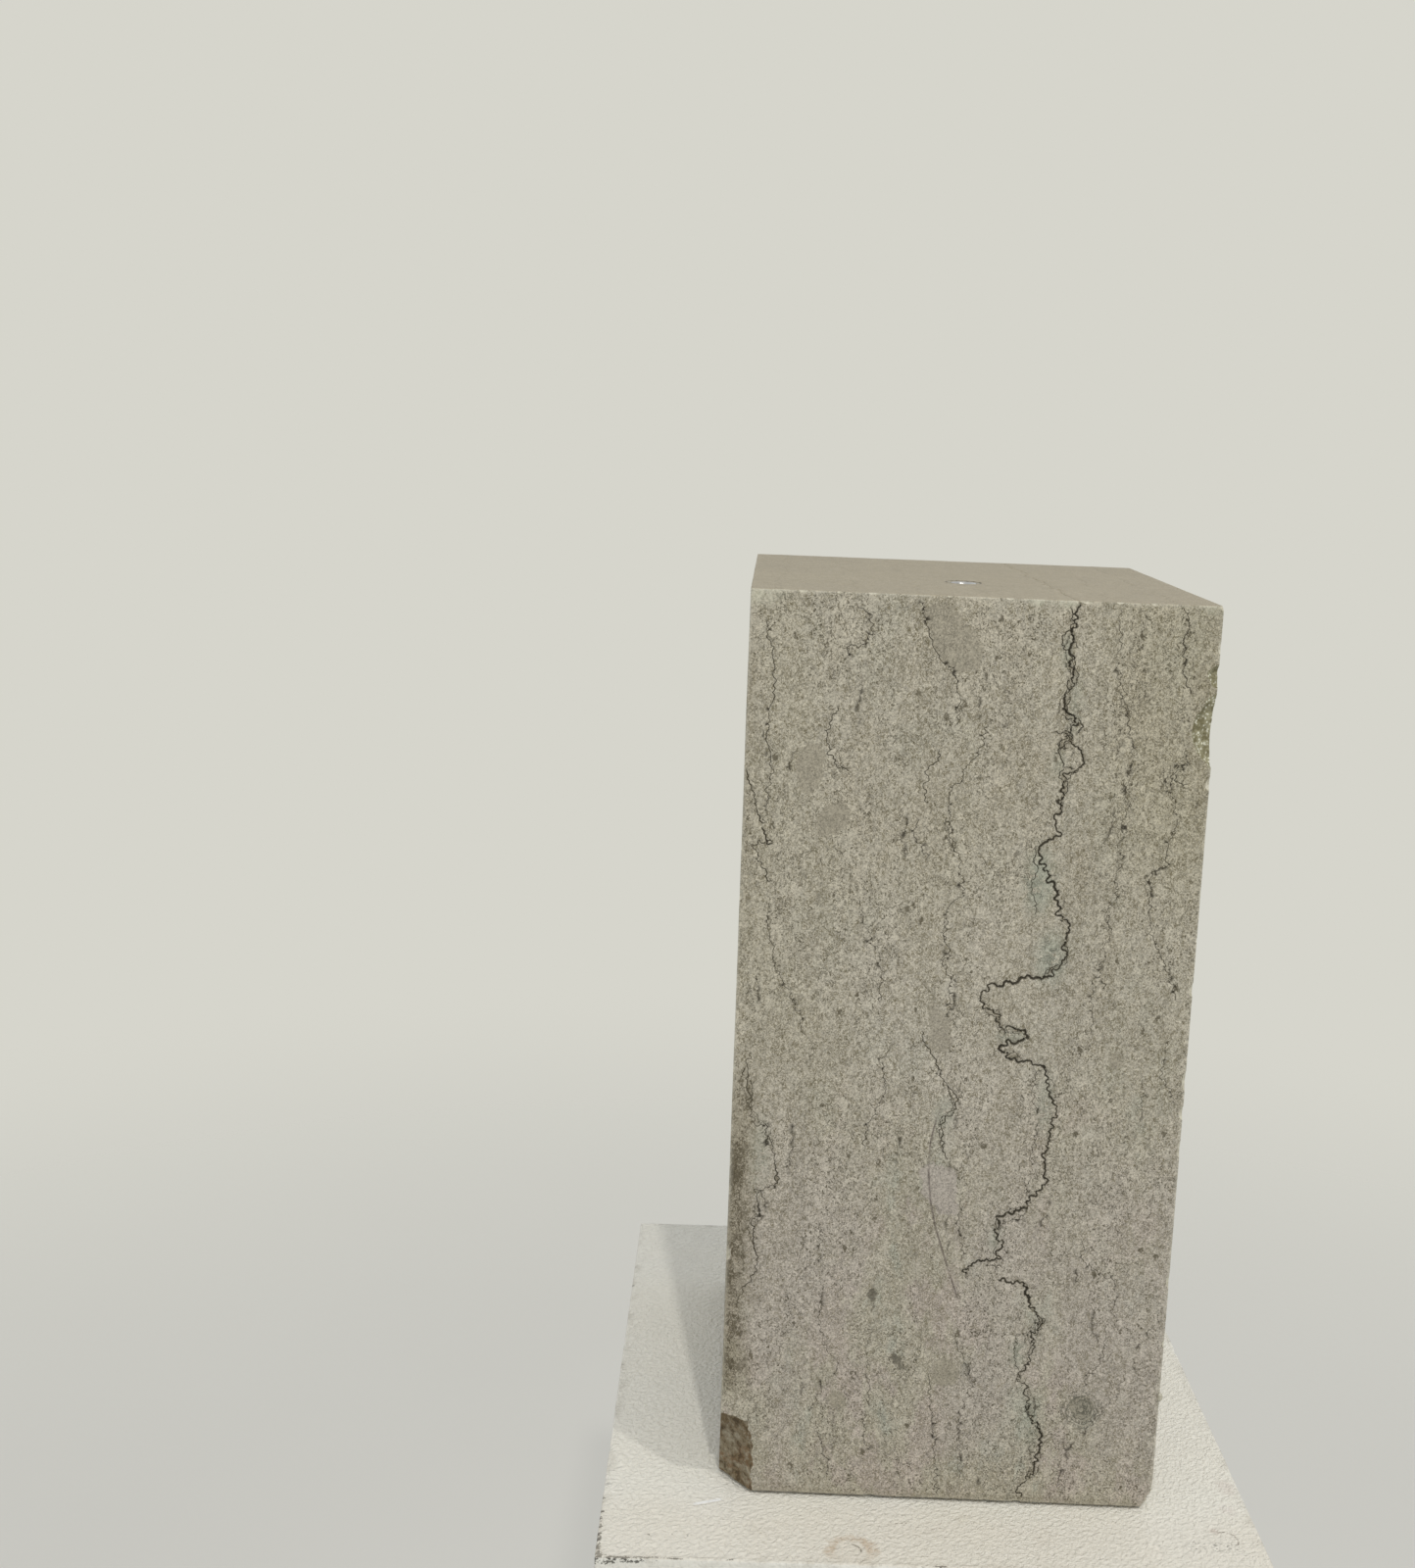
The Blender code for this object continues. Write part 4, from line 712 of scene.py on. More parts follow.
# Fossil sections: tone (-1 dark, 0 middle, 1 pale) and outline.
FRONT_FOSSILS = [
    (0.0, [(-27.3, 417.1), (-12.3, 414.8), (0.7, 398.5), (-1.5, 388.0), (-11.7, 386.7), (-19.5, 393.9), (-24.2, 405.0)]),
    (0.0, [(-76.6, 353.6), (-66.2, 352.1), (-66.7, 340.5), (-69.2, 332.7), (-75.8, 332.4), (-79.1, 343.9)]),
    (0.0, [(-63.4, 330.0), (-53.8, 328.5), (-53.5, 320.7), (-60.7, 313.6), (-69.2, 311.3), (-67.7, 321.1)]),
    (-0.1, [(-18.0, 241.7), (-13.1, 239.9), (-5.8, 230.1), (-2.0, 222.1), (-7.0, 217.8), (-9.7, 213.7), (-14.5, 223.6), (-14.7, 233.7)]),
    (0.0, [(-1.8, 69.8), (4.7, 70.1), (8.4, 62.0), (4.4, 56.0), (-2.2, 56.8), (-4.8, 63.8)]),
    (-1.0, [(-33.8, 103.4), (-31.6, 102.4), (-31.7, 94.2), (-33.3, 91.8), (-34.9, 94.1), (-34.8, 101.0)]),
    (-1.0, [(-25.0, 76.5), (-22.0, 73.6), (-19.0, 66.7), (-17.7, 62.7), (-21.6, 66.6), (-24.5, 71.2)]),
    (-0.3, [(60.0, 53.8), (65.3, 55.2), (71.0, 51.9), (71.4, 46.0), (67.4, 41.5), (61.8, 43.2), (58.7, 47.8)]),
    (-0.1, [(67.4, 220.0), (71.3, 219.2), (72.6, 214.1), (69.9, 212.0), (65.9, 213.8)]),
    (0.0, [(-51.0, 52.3), (-43.3, 51.4), (-42.0, 45.6), (-47.3, 42.9), (-51.8, 46.3)]),
    (1.0, [(-18.8, 163.8), (1.8, 164.7), (1.6, 150.1), (4.1, 140.8), (-7.7, 140.2)]),
]
# Clay-tinted patches: centre, half sizes, strength.
FRONT_TINTS = [
    (30.0, 297.0, 8.5, 19.0, 1.0), (37.0, 262.0, 8.5, 16.0, 0.90), (40.5, 375.0, 4.0, 16.0, 0.45), (34.5, 350.0, 4.0, 8.0, 0.50),
    (22.0, 226.0, 9.0, 5.0, 0.55), (34.5, 75.0, 4.0, 9.0, 0.75), (38.5, 195.0, 5.0, 18.0, 0.55), (20.5, 130.0, 4.0, 10.0, 0.60),
    (-5.5, 188.0, 6.0, 12.0, 0.50), (-87.0, 165.0, 6.0, 22.0, 0.45), (43.0, 40.0, 5.0, 16.0, 0.50), (35.0, 398.0, 3.2, 10.0, 0.60),
]


CLAY = []  # dark fill between paired strands: across, up, reach


def resample(points, step):
    """Points every step along a polyline, with each one's distance from the start."""
    pts = np.asarray(points, float)
    seg = np.hypot(*(pts[1:] - pts[:-1]).T)
    s = np.concatenate([[0], np.cumsum(seg)])
    n = max(2, int(round(s[-1] / step)) + 1)
    t = np.linspace(0, s[-1], n)
    return np.stack([np.interp(t, s, pts[:, 0]), np.interp(t, s, pts[:, 1])], 1), t


def normals_of(path):
    d = np.gradient(path, axis=0)
    d /= np.maximum(np.hypot(d[:, 0], d[:, 1]), 1e-9)[:, None]
    return np.stack([-d[:, 1], d[:, 0]], 1)


def jag(path, t, amp, seed):
    """A stylolite's stepped, toothed wander, as a sideways offset in millimetres."""
    line = np.stack([t, np.full_like(t, seed * 7.7), np.zeros_like(t)], 1)
    slow, quick = fbm(line, 4.2, 2, seed), fbm(line, 1.75, 2, seed + 50)
    off = 1.1 * slow + 1.45 * np.sign(quick) * np.abs(quick) ** 0.65 + 0.50 * fbm(line, 0.8, 1, seed + 90)
    fade = np.minimum(1.0, np.minimum(t, t[-1] - t) / 2.0)
    return path + normals_of(path) * (amp * off * fade)[:, None]


def satellites(points, rng, count, reach, spans=(9, 26)):
    """Strands that leave a large seam, bow out beside it and come back."""
    out = []
    path, t = resample(points, 1.0)
    n = normals_of(path)
    for _ in range(count):
        length = rng.uniform(*spans)
        if t[-1] <= length + 4:
            continue
        a = rng.uniform(2, t[-1] - length - 2)
        pick = (t >= a) & (t <= a + length)
        side = rng.choice((-1, 1))
        bow = np.sin(np.linspace(0.0, math.pi, pick.sum())) * rng.uniform(0.8, reach)
        strand = path[pick] + n[pick] * (side * (0.25 + bow))[:, None]
        out.append([tuple(q) for q in strand][::2])
        if spans[1] < 20:
            CLAY.extend(zip(*(path[pick] + n[pick] * (side * bow * 0.5)[:, None]).T, bow * 0.5 + 0.25))
    return out


def random_seams(rng, width, height, xs, strong=()):
    """Upright seams for a face that isn't seen from the front."""
    out = []
    for k, x0 in enumerate(xs):
        z, x, pts = rng.uniform(0, 12), x0, []
        top = height - 0.8
        while z < top:
            pts.append((min(max(x, -width / 2 + 1.5), width / 2 - 1.5), z))
            z += rng.uniform(4.0, 8.5)
            x += rng.gauss(0, 2.3) + 0.10 * (x0 - x)
            if rng.random() < 0.06:
                x += rng.choice((-1, 1)) * rng.uniform(4, 11)
        if len(pts) < 4:
            continue
        if k in strong:
            out.append((0.95, 0.55, 0.46, 1.0, pts))
            for s in satellites(pts, rng, 5, 3.0):
                out.append((0.60, 0.12, 0.26, 0.9, s))
            continue
        i = 0
        while i < len(pts) - 3:
            n = rng.randint(4, 16)
            if rng.random() < 0.72:
                out.append((rng.uniform(0.50, 0.85), 0.13, 0.28, 0.95, pts[i:i + n]))
            i += n + rng.randint(0, 3)
    return [s for s in out if len(s[4]) > 2]


def polygon_distance(pts, poly):
    """Signed distance in the polygon's units, negative inside."""
    poly = np.asarray(poly, float)
    best = np.full(len(pts), 1e9)
    inside = np.zeros(len(pts), bool)
    for a, b in zip(poly, np.roll(poly, -1, 0)):
        ab = b - a
        t = np.clip(((pts - a) @ ab) / (ab @ ab), 0, 1)
        best = np.minimum(best, np.hypot(*((pts - a - t[:, None] * ab).T)))
        crosses = (a[1] > pts[:, 1]) != (b[1] > pts[:, 1])
        xs = a[0] + (pts[:, 1] - a[1]) * (b[0] - a[0]) / (b[1] - a[1] if abs(b[1] - a[1]) > 1e-12 else 1e-12)
        inside ^= crosses & (pts[:, 0] < xs)
    return np.where(inside, -best, best)


def round_outline(poly, seed):
    """Softens a traced outline: three rounds of corner cutting."""
    pts = np.asarray(poly, float)
    for _ in range(3):
        nxt = np.roll(pts, -1, 0)
        pts = np.stack([pts * 0.75 + nxt * 0.25, pts * 0.25 + nxt * 0.75], 1).reshape(-1, 2)
    return pts


class Raster:
    """Marks the neighbourhood of points on a face, to keep other points clear of them."""

    def __init__(self, us, vs, cell=0.2):
        self.u0, self.v0, self.cell = us[0] - 2, vs[0] - 2, cell
        self.grid = np.zeros((int((us[-1] - us[0] + 4) / cell) + 2, int((vs[-1] - vs[0] + 4) / cell) + 2), bool)

    def index(self, pts):
        i = ((pts[:, 0] - self.u0) / self.cell).astype(int).clip(0, self.grid.shape[0] - 1)
        j = ((pts[:, 1] - self.v0) / self.cell).astype(int).clip(0, self.grid.shape[1] - 1)
        return i, j

    def mark(self, pts, radius):
        if not len(pts):
            return
        i, j = self.index(pts)
        n = int(math.ceil(radius / self.cell))
        for a in range(-n, n + 1):
            for b in range(-n, n + 1):
                if a * a + b * b <= (radius / self.cell) ** 2:
                    self.grid[(i + a).clip(0, self.grid.shape[0] - 1), (j + b).clip(0, self.grid.shape[1] - 1)] = True

    def clear(self, pts):
        i, j = self.index(pts)
        return ~self.grid[i, j]


def ring_points(us, vs, inset, spacing):
    u0, u1, v0, v1 = us[0] + inset, us[-1] - inset, vs[0] + inset, vs[-1] - inset
    nu, nv = max(2, int(round((u1 - u0) / spacing))), max(2, int(round((v1 - v0) / spacing)))
    a, b = np.linspace(u0, u1, nu + 1), np.linspace(v0, v1, nv + 1)
    return np.concatenate([
        np.stack([a[:-1], np.full(nu, v0)], 1), np.stack([np.full(nv, u1), b[:-1]], 1),
        np.stack([a[1:], np.full(nu, v1)], 1), np.stack([np.full(nv, u0), b[1:]], 1)])


def face(us, vs, grid, layers, seams=(), shells=(), holes=(), seed=1):
    """A flat rectangular face in millimetres, triangulated round its seams.
    us and vs are the stations on its edges.  Returns points, triangles, and per-point seam values."""
    rng = np.random.RandomState(seed)
    raster = Raster(us, vs)
    near_line = Raster(us, vs, 0.12)
    pts, groups, edges = [], [], []
    seam_val, depth_val, shell_val = [], [], []

    def push(block, seam=0.0, depth=0.0, shell=0.0):
        start = sum(len(g) for g in pts)
        pts.append(block)
        n = len(block)
        seam_val.append(np.broadcast_to(seam, n).astype(float))
        depth_val.append(np.broadcast_to(depth, n).astype(float))
        shell_val.append(np.broadcast_to(shell, n).astype(float))
        return start

    border = ring_points(us, vs, 0.0, 1.0)[:0]
    u0, u1, v0, v1 = us[0], us[-1], vs[0], vs[-1]
    border = np.concatenate([
        np.stack([us[:-1], np.full(len(us) - 1, v0)], 1), np.stack([np.full(len(vs) - 1, u1), vs[:-1]], 1),
        np.stack([us[1:], np.full(len(us) - 1, v1)], 1), np.stack([np.full(len(vs) - 1, u0), vs[1:]], 1)])
    push(border)
    hole_edges = []
    for hu, hv, hr, sides in holes:
        a = np.arange(sides) * math.tau / sides
        ring = np.stack([hu + hr * np.cos(a), hv + hr * np.sin(a)], 1)
        start = push(ring)
        edges += [(start + i, start + (i + 1) % sides) for i in range(sides)]
        hole_edges.append((start, sides))
        raster.mark(ring, hr * math.tau / sides * 0.8)
        push(np.stack([hu + (hr + 0.9) * np.cos(a), hv + (hr + 0.9) * np.sin(a)], 1))
        disc = rng.uniform(-1, 1, (int(hr * hr * 60), 2))
        disc = disc[np.hypot(*disc.T) < 1] * (hr - 0.1) + (hu, hv)
        raster.mark(disc, 0.5)
        raster.mark(np.stack([hu + (hr + 0.9) * np.cos(a), hv + (hr + 0.9) * np.sin(a)], 1), 0.55)

    lines, sides_wanted = [], []
    for k, (strength, depth, half, amp, path) in enumerate(seams):
        fine, t = resample(path, 0.50 if strength > 0.6 else 0.62)
        fine = jag(fine, t, amp, seed * 100 + k)
        keep = (fine[:, 0] > u0 + 0.5) & (fine[:, 0] < u1 - 0.5) & (fine[:, 1] > v0 + 0.5) & (fine[:, 1] < v1 - 0.5)
        line3 = np.stack([t, np.full_like(t, k * 5.1 + seed), np.zeros_like(t)], 1)
        wax = 0.5 + 0.5 * fbm(line3, 9.0, 2, 7)
        # A strong seam runs unbroken; a weak one thins out into dashes.
        solid = min(1.0, max(0.0, (strength - 0.35) / 0.5))
        gap = 0.52 - 0.46 * solid
        there = smooth(0.5 + 0.5 * fbm(line3 + 31.0, 2.8, 2, 9) + 0.4 * (wax - 0.5), gap - 0.10, gap + 0.06)
        level = there * (0.72 + 0.45 * wax) * (0.52 + 0.58 * solid) + (1 - there) * 0.24
        half = half * ((0.42 + 1.25 * wax) if strength > 0.8 else (0.65 + 0.60 * wax)) * (0.60 + 0.40 * there)
        ends = np.minimum(1.0, 0.25 + np.minimum(t, t[-1] - t) / 2.5)
        lines.append((fine, keep, level * ends, depth * ends * (0.5 + wax * 0.8), half, 0.0))
    for k, (strength, half, path) in enumerate(shells):
        fine, t = resample(path, 1.3)
        for _ in range(4):
            fine[1:-1] = (fine[:-2] + fine[1:-1] * 2 + fine[2:]) / 4
        ends = np.minimum(1.0, 0.1 + np.minimum(t, t[-1] - t) / 14.0)
        lines.append((fine, np.ones(len(t), bool), None, 0.10 * ends, half, strength * ends))

    for fine, keep, level, depth, half, shell in lines:
        where = near_line.clear(fine)
        seam = np.zeros(len(fine)) if level is None else level
        shl = np.broadcast_to(shell, len(fine))
        last = None
        idx = np.full(len(fine), -1)
        ok = keep & where
        chosen = np.nonzero(ok)[0]
        if len(chosen) < 3:
            continue
        start = push(fine[chosen], seam[chosen], np.broadcast_to(depth, len(fine))[chosen], shl[chosen])
        idx[chosen] = start + np.arange(len(chosen))
        for a, b in zip(chosen[:-1], chosen[1:]):
            if b - a <= 2:
                edges.append((int(idx[a]), int(idx[b])))
        near_line.mark(fine[chosen], 0.24)
        raster.mark(fine[chosen], 0.80)
        n = normals_of(fine)
        width = half * (0.85 + 0.35 * np.clip(seam if level is not None else 1.0, 0, 1))
        wid = np.broadcast_to(width, len(fine))[:, None]
        sides_wanted.append((fine + n * wid)[chosen])
        sides_wanted.append((fine - n * wid)[chosen])
    for block in sides_wanted:
        ok = near_line.clear(block) & (block[:, 0] > u0 + 0.3) & (block[:, 0] < u1 - 0.3) & (block[:, 1] > v0 + 0.3) & (block[:, 1] < v1 - 0.3)
        block = block[ok]
        if len(block):
            push(block)
            near_line.mark(block, 0.14)
    for inset, spacing in layers:
        ring = ring_points(us, vs, inset, spacing)
        push(ring[raster.clear(ring)])
    inner = layers[-1][0] + grid * 0.55
    gu = np.arange(u0 + inner, u1 - inner + 1e-9, grid)
    gv = np.arange(v0 + inner, v1 - inner + 1e-9, grid * 0.866)
    mesh = np.stack(np.meshgrid(gu, gv, indexing="ij"), -1)
    mesh[:, 1::2, 0] += grid * 0.5
    mesh = mesh.reshape(-1, 2)
    mesh = mesh + rng.uniform(-0.12, 0.12, mesh.shape) * grid
    mesh = mesh[(mesh[:, 0] < u1 - inner * 0.8) & raster.clear(mesh)]
    push(mesh)

    allp = np.concatenate(pts)
    seam_all, depth_all, shell_all = map(np.concatenate, (seam_val, depth_val, shell_val))
    out = delaunay_2d_cdt([Vector(q) for q in allp], edges, [], 0, 1e-5)
    verts = np.array([tuple(q) for q in out[0]])
    tris = np.array([f for f in out[2] if len(f) == 3])
    source = out[3]
    seam_out, depth_out, shell_out = (np.zeros(len(verts)) for _ in range(3))
    fresh = []
    for i, ids in enumerate(source):
        if ids:
            seam_out[i], depth_out[i], shell_out[i] = max(seam_all[j] for j in ids), max(depth_all[j] for j in ids), max(shell_all[j] for j in ids)
            verts[i] = allp[ids[0]]
        else:
            fresh.append(i)
    for i in fresh:  # two seams cross here
        seam_out[i], depth_out[i] = 0.5, 0.2
    rings = []
    for (start, sides), (hu, hv, hr, _) in zip(hole_edges, holes):
        mid = verts[tris].mean(1)
        tris = tris[np.hypot(mid[:, 0] - hu, mid[:, 1] - hv) > hr * 0.985]
        back = {j: i for i, ids in enumerate(source) for j in ids if start <= j < start + sides}
        rings.append([back[start + k] for k in range(sides)])
    return verts, tris, seam_out, depth_out, shell_out, rings


def limestone_block():
    w, d, h = W / MM, D / MM, H / MM
    xs = np.linspace(-w / 2, w / 2, 169)
    ys = np.linspace(-d / 2, d / 2, 158)
    zs = np.linspace(0, h, 351)
    rng = random.Random(11)
    front = [(s, dp, hw, a, p) for s, dp, hw, a, p in FRONT_SEAMS.values()]
    for key, count, reach in (("main", 22, 1.9), ("main_low", 9, 2.1), ("left_c", 4, 1.6), ("strand_loop", 2, 1.2)):
        for extra in satellites(FRONT_SEAMS[key][4], rng, count, reach, (5, 17)):
            front.append((rng.uniform(0.62, 0.95), 0.30, 0.28, 0.75, extra))
    for key, count, reach in (("main", 8, 4.4), ("main_low", 6, 4.6), ("left_c", 5, 3.6), ("mid_e", 3, 3.0), ("mid_d", 4, 3.0), ("right_c", 3, 3.0), ("right_a", 3, 2.6)):
        for extra in satellites(FRONT_SEAMS[key][4], rng, count, reach, (20, 30)):
            front.append((rng.uniform(0.42, 0.66), 0.10, 0.24, 0.60, extra))
    # Loose wisps between the traced seams, the way the bedding clay fades out.
    for _ in range(30):
        x, z = rng.uniform(-96, 96), rng.uniform(8, 402)
        pts, steps = [(x, z)], rng.randint(3, 7)
        for _ in range(steps):
            x, z = x + rng.gauss(0, 1.1), z - rng.uniform(2.8, 5.2)
            pts.append((min(max(x, -98), 98), max(z, 2.0)))
        front.append((rng.uniform(0.34, 0.50), 0.07, 0.20, 0.30, pts))
    socket = (-3.0, -30.0, 8.1, 48)
    edge_layers = [(0.45, 1.25), (1.1, 1.5), (2.4, 2.2), (5.0, 3.2)]
    plans = {
        "front": (xs, zs, 3.0, [(0.45, 1.25), (1.1, 1.45), (2.3, 1.9)], front, [(s, hw, p) for s, hw, p in FRONT_SHELLS.values()], ()),
        "back": (xs, zs, 5.6, edge_layers, random_seams(rng, w, h, (-82, -57, -30, -4, 31, 58, 80), strong=(4,)), (), ()),
        "left": (ys, zs, 5.6, edge_layers, random_seams(rng, d, h, (-66, -20, 34, 74)), (), ()),
        "right": (ys, zs, 5.6, edge_layers, random_seams(rng, d, h, (-72, -31, 12, 62)), (), ()),
        "top": (xs, ys, 3.4, edge_layers, [], (), (socket,)),
        "foot": (xs, ys, 7.0, edge_layers + [(9.0, 5.0)], [], (), ()),
    }
    # Seams cross the top as the same sheets: main seam, then the fainter ones.
    top_seams = []
    for x0, x1, strength in ((38.8, 32.0, 0.85), (-91.0, -83.0, 0.5), (57.1, 58.0, 0.5), (83.0, 79.0, 0.6), (-28.6, -31.0, 0.45), (-56.0, -58.0, 0.45), (3.0, -5.0, 0.40)):
        pts = []
        for k in range(25):
            y = -93.2 + k * 186.4 / 24
            pts.append((x0 + (x1 - x0) * k / 24 + (0 if k == 0 else rng.gauss(0, 1.5)), y))
        if strength > 0.8:
            top_seams.append((strength, 0.35, 0.36, 0.6, pts))
        else:
            top_seams += [(strength, 0.08, 0.26, 0.6, pts[i:i + 8]) for i in (0, 9, 17) if rng.random() < 0.8]
    plans["top"] = plans["top"][:4] + (top_seams,) + plans["top"][5:]

    V, F, A = [], [], {k: [] for k in ("seam", "shell", "fossil", "tone", "tint", "clay", "grime", "depth", "side")}
    tree = KDTree(len(CLAY))
    for k, (cu, cv, _) in enumerate(CLAY):
        tree.insert((cu, cv, 0.0), k)
    tree.balance()
    count = 0
    socket_ring = None
    for index, (key, (us, vs, grid, layers, seams, shells, holes)) in enumerate(plans.items()):
        pts, tris, seam, depth, shell, rings = face(us, vs, grid, layers, seams, shells, holes, seed=index + 3)
        n = len(pts)
        u, v = pts[:, 0], pts[:, 1]
        place = {
            "front": (u, np.full(n, -d / 2), v), "back": (u, np.full(n, d / 2), v),
            "left": (np.full(n, -w / 2), u, v), "right": (np.full(n, w / 2), u, v),
            "top": (u, v, np.full(n, h)), "foot": (u, v, np.zeros(n)),
        }[key]
        fossil, tone = np.full(n, 9.0), np.zeros(n)
        tint, grime, clay = np.zeros(n), np.zeros(n), np.zeros(n)
        if key == "front":
            for i in range(n):
                _, hit, far = tree.find((u[i], v[i], 0.0))
                if hit is not None and far < 3.0:
                    clay[i] = min(1.0, max(0.0, 1.3 - far / CLAY[hit][2]))
            for t, outline in FRONT_FOSSILS:
                dist = polygon_distance(pts, round_outline(outline, 0))
                nearer = dist < fossil
                fossil = np.where(nearer, dist, fossil)
                tone = np.where(nearer, t, tone)
            for cx, cz, rx, rz, s in FRONT_TINTS:
                r = np.hypot((u - cx) / rx, (v - cz) / rz)
                tint = np.maximum(tint, s * smooth(r, 1.15, 0.25))
            # Brown strip low on the left, a dirty foot above the fracture and a rubbed lower right.
            grime = np.maximum(grime, smooth(u, -85.0, -97.0) * smooth(v, 222, 170) * smooth(v, 40, 60))
            grime = np.maximum(grime, 0.6 * smooth(np.hypot((u + 92) / 7, (v - 62) / 20), 1.2, 0.3))
            grime = np.maximum(grime, 0.35 * smooth(u, -92.0, -100.0) * smooth(v, 410, 380) * smooth(v, 215, 300))
            grime = np.maximum(grime, 0.55 * smooth(np.hypot((u - 94) / 6, (v - 388) / 9), 1.2, 0.2))
            grime = np.maximum(grime, 0.40 * smooth(v, 5.0, 1.0))
        elif key in ("left", "back", "right"):
            local = np.random.RandomState(40 + index)
            for _ in range(9):
                cu, cv = local.uniform(us[0] + 12, us[-1] - 12), local.uniform(20, h - 20)
                rx, rz = local.uniform(2.0, 6.5), local.uniform(3.0, 11.0)
                dist = (np.hypot((u - cu) / rx, (v - cv) / rz) - 1) * min(rx, rz)
                nearer = dist < fossil
                fossil = np.where(nearer, dist, fossil)
                tone = np.where(nearer, local.choice([-0.45, -0.2, 0.0, 0.9]), tone)
            grime = 0.45 * smooth(v, 9.0, 1.0)
            if key == "left":
                grime = np.maximum(grime, smooth(u, -d / 2 + 22, -d / 2 + 3) * smooth(v, 215, 120) * 0.9)
        tris = tris if key in ("front", "right", "top") else tris[:, ::-1]
        if rings:
            socket_ring = [i + count for i in rings[0]]
        V.append(np.stack(place, 1))
        F.append(tris + count)
        for k, values in (("seam", seam), ("shell", shell), ("fossil", fossil), ("tone", tone), ("tint", tint), ("clay", clay), ("grime", grime), ("depth", depth), ("side", np.full(n, index))):
            A[k].append(values)
        count += n
    # The socket's hole: wall and floor.
    ring = np.concatenate(V)[socket_ring]
    steps = [6.0, 14.0, 26.0, 43.3]
    below = [ring - (0, 0, s) for s in steps]
    centre = np.array([[socket[0], socket[1], h - 43.3]])
    first = count
    V += below + [centre]
    for k in A:
        A[k].append(np.full(len(ring) * len(steps) + 1, 9.0 if k == "fossil" else 5.0 if k == "side" else 0.0))
    rows = [socket_ring] + [[first + i * len(ring) + j for j in range(len(ring))] for i in range(len(steps))]
    wall = []
    for a, b in zip(rows[:-1], rows[1:]):
        for j in range(len(ring)):
            k = (j + 1) % len(ring)
            wall += [(a[k], a[j], b[j]), (a[k], b[j], b[k])]
    tip = first + len(ring) * len(steps)
    wall += [(rows[-1][(j + 1) % len(ring)], rows[-1][j], tip) for j in range(len(ring))]
    F.append(np.array(wall))
    V, F = np.concatenate(V), np.concatenate(F)
    A = {k: np.concatenate(v) for k, v in A.items()}

    # Join the six faces along their shared stations.
    key = np.round(V * 200).astype(np.int64)
    _, firsts, inverse = np.unique(key, axis=0, return_index=True, return_inverse=True)
    inverse = inverse.reshape(-1)
    F = inverse[F]
    V = V[firsts]
    A = {k: v[firsts] for k, v in A.items()}
    F = F[(F[:, 0] != F[:, 1]) & (F[:, 1] != F[:, 2]) & (F[:, 0] != F[:, 2])]

    P = V * MM
    half = np.array([W / 2, D / 2, H / 2])
    C = P - (0, 0, H / 2)
    on = np.abs(np.abs(C) - half) < 1e-6
    hole = (np.hypot(P[:, 0] + 0.003, P[:, 1] + 0.030) < 0.0085) & (P[:, 2] > 0.2)
    on[hole] &= False
    # How far each point is from the nearest arris: the second smallest distance to a face plane.
    near = np.sort(half - np.abs(C), axis=1)[:, 1]
    # Seam grooves, then the saw's gentle waviness and the tooth of the surface.
    sink = A["depth"] * MM * smooth(near, 0.0002, 0.0012)
    single = on.sum(1) == 1
    out = np.sign(C) * on
    C = C - out * (sink * single)[:, None]
    for axis in range(3):
        where = on[:, axis]
        q = P[where]
        wave = 0.00016 * fbm(q + axis * 3.3, 0.085, 2, 20 + axis) + 0.00005 * fbm(q, 0.012, 2, 30 + axis)
        tooth = 0.00004 * fbm(q, 0.0024, 2, 36 + axis) * smooth(near[where], 0.0003, 0.002)
        C[where, axis] += np.sign(C[where, axis]) * (wave + tooth - 0.00010)
    # Arrises: lightly eased, with the radius wandering along them.
    radius = 0.00042 + 0.00030 * smooth(fbm(P, 0.020, 3, 44), -0.2, 0.7) + 0.00055 * smooth(fbm(P, 0.0055, 2, 47), 0.25, 0.75)
    skin = np.where(hole, 0.0, 1.0)
    core = half - 0.0001 - radius[:, None]
    q = np.clip(C, -core, core)
    away = C - q
    length = np.linalg.norm(away, axis=1)
    multi = ((np.abs(away) > 1e-9).sum(1) > 1) & (length > radius) & (skin > 0)
    C[multi] = q[multi] + away[multi] / length[multi, None] * radius[multi, None]
    P = C + (0, 0, H / 2)
    A["arris"] = np.where(hole, 0.0, smooth(near, 0.0016, 0.0003))
    attrs = {k: A[k] for k in ("seam", "shell", "fossil", "tone", "tint", "clay", "grime", "arris")}

    obj = build("limestone_block", P, F, STONE_SET, None, attrs=attrs)
    cutter = stone_losses()
    mod = obj.modifiers.new("losses", "BOOLEAN")
    mod.operation = "DIFFERENCE"
    mod.solver = "EXACT"
    mod.object = cutter
    mod.material_mode = "INDEX"
    bpy.context.view_layer.update()
    evaluated = obj.evaluated_get(bpy.context.evaluated_depsgraph_get())
    mesh = bpy.data.meshes.new_from_object(evaluated)
    obj.modifiers.clear()
    before = len(obj.data.polygons)
    if len(mesh.polygons) > before * 0.6:
        obj.data = mesh
    bpy.data.objects.remove(cutter, do_unlink=True)
    bm = bmesh.new()
    bm.from_mesh(obj.data)
    bmesh.ops.remove_doubles(bm, verts=bm.verts, dist=0.000004)
    bmesh.ops.dissolve_degenerate(bm, dist=0.000004, edges=bm.edges)
    bmesh.ops.triangulate(bm, faces=[f for f in bm.faces if len(f.verts) > 3])
    bm.to_mesh(obj.data)
    print("limestone triangles", len(obj.data.polygons))
    bm.free()
    obj.matrix_world = STONE_AT
    shade(obj, 42.0)
    settle(obj, "stone", ("stone_block",))
    return obj


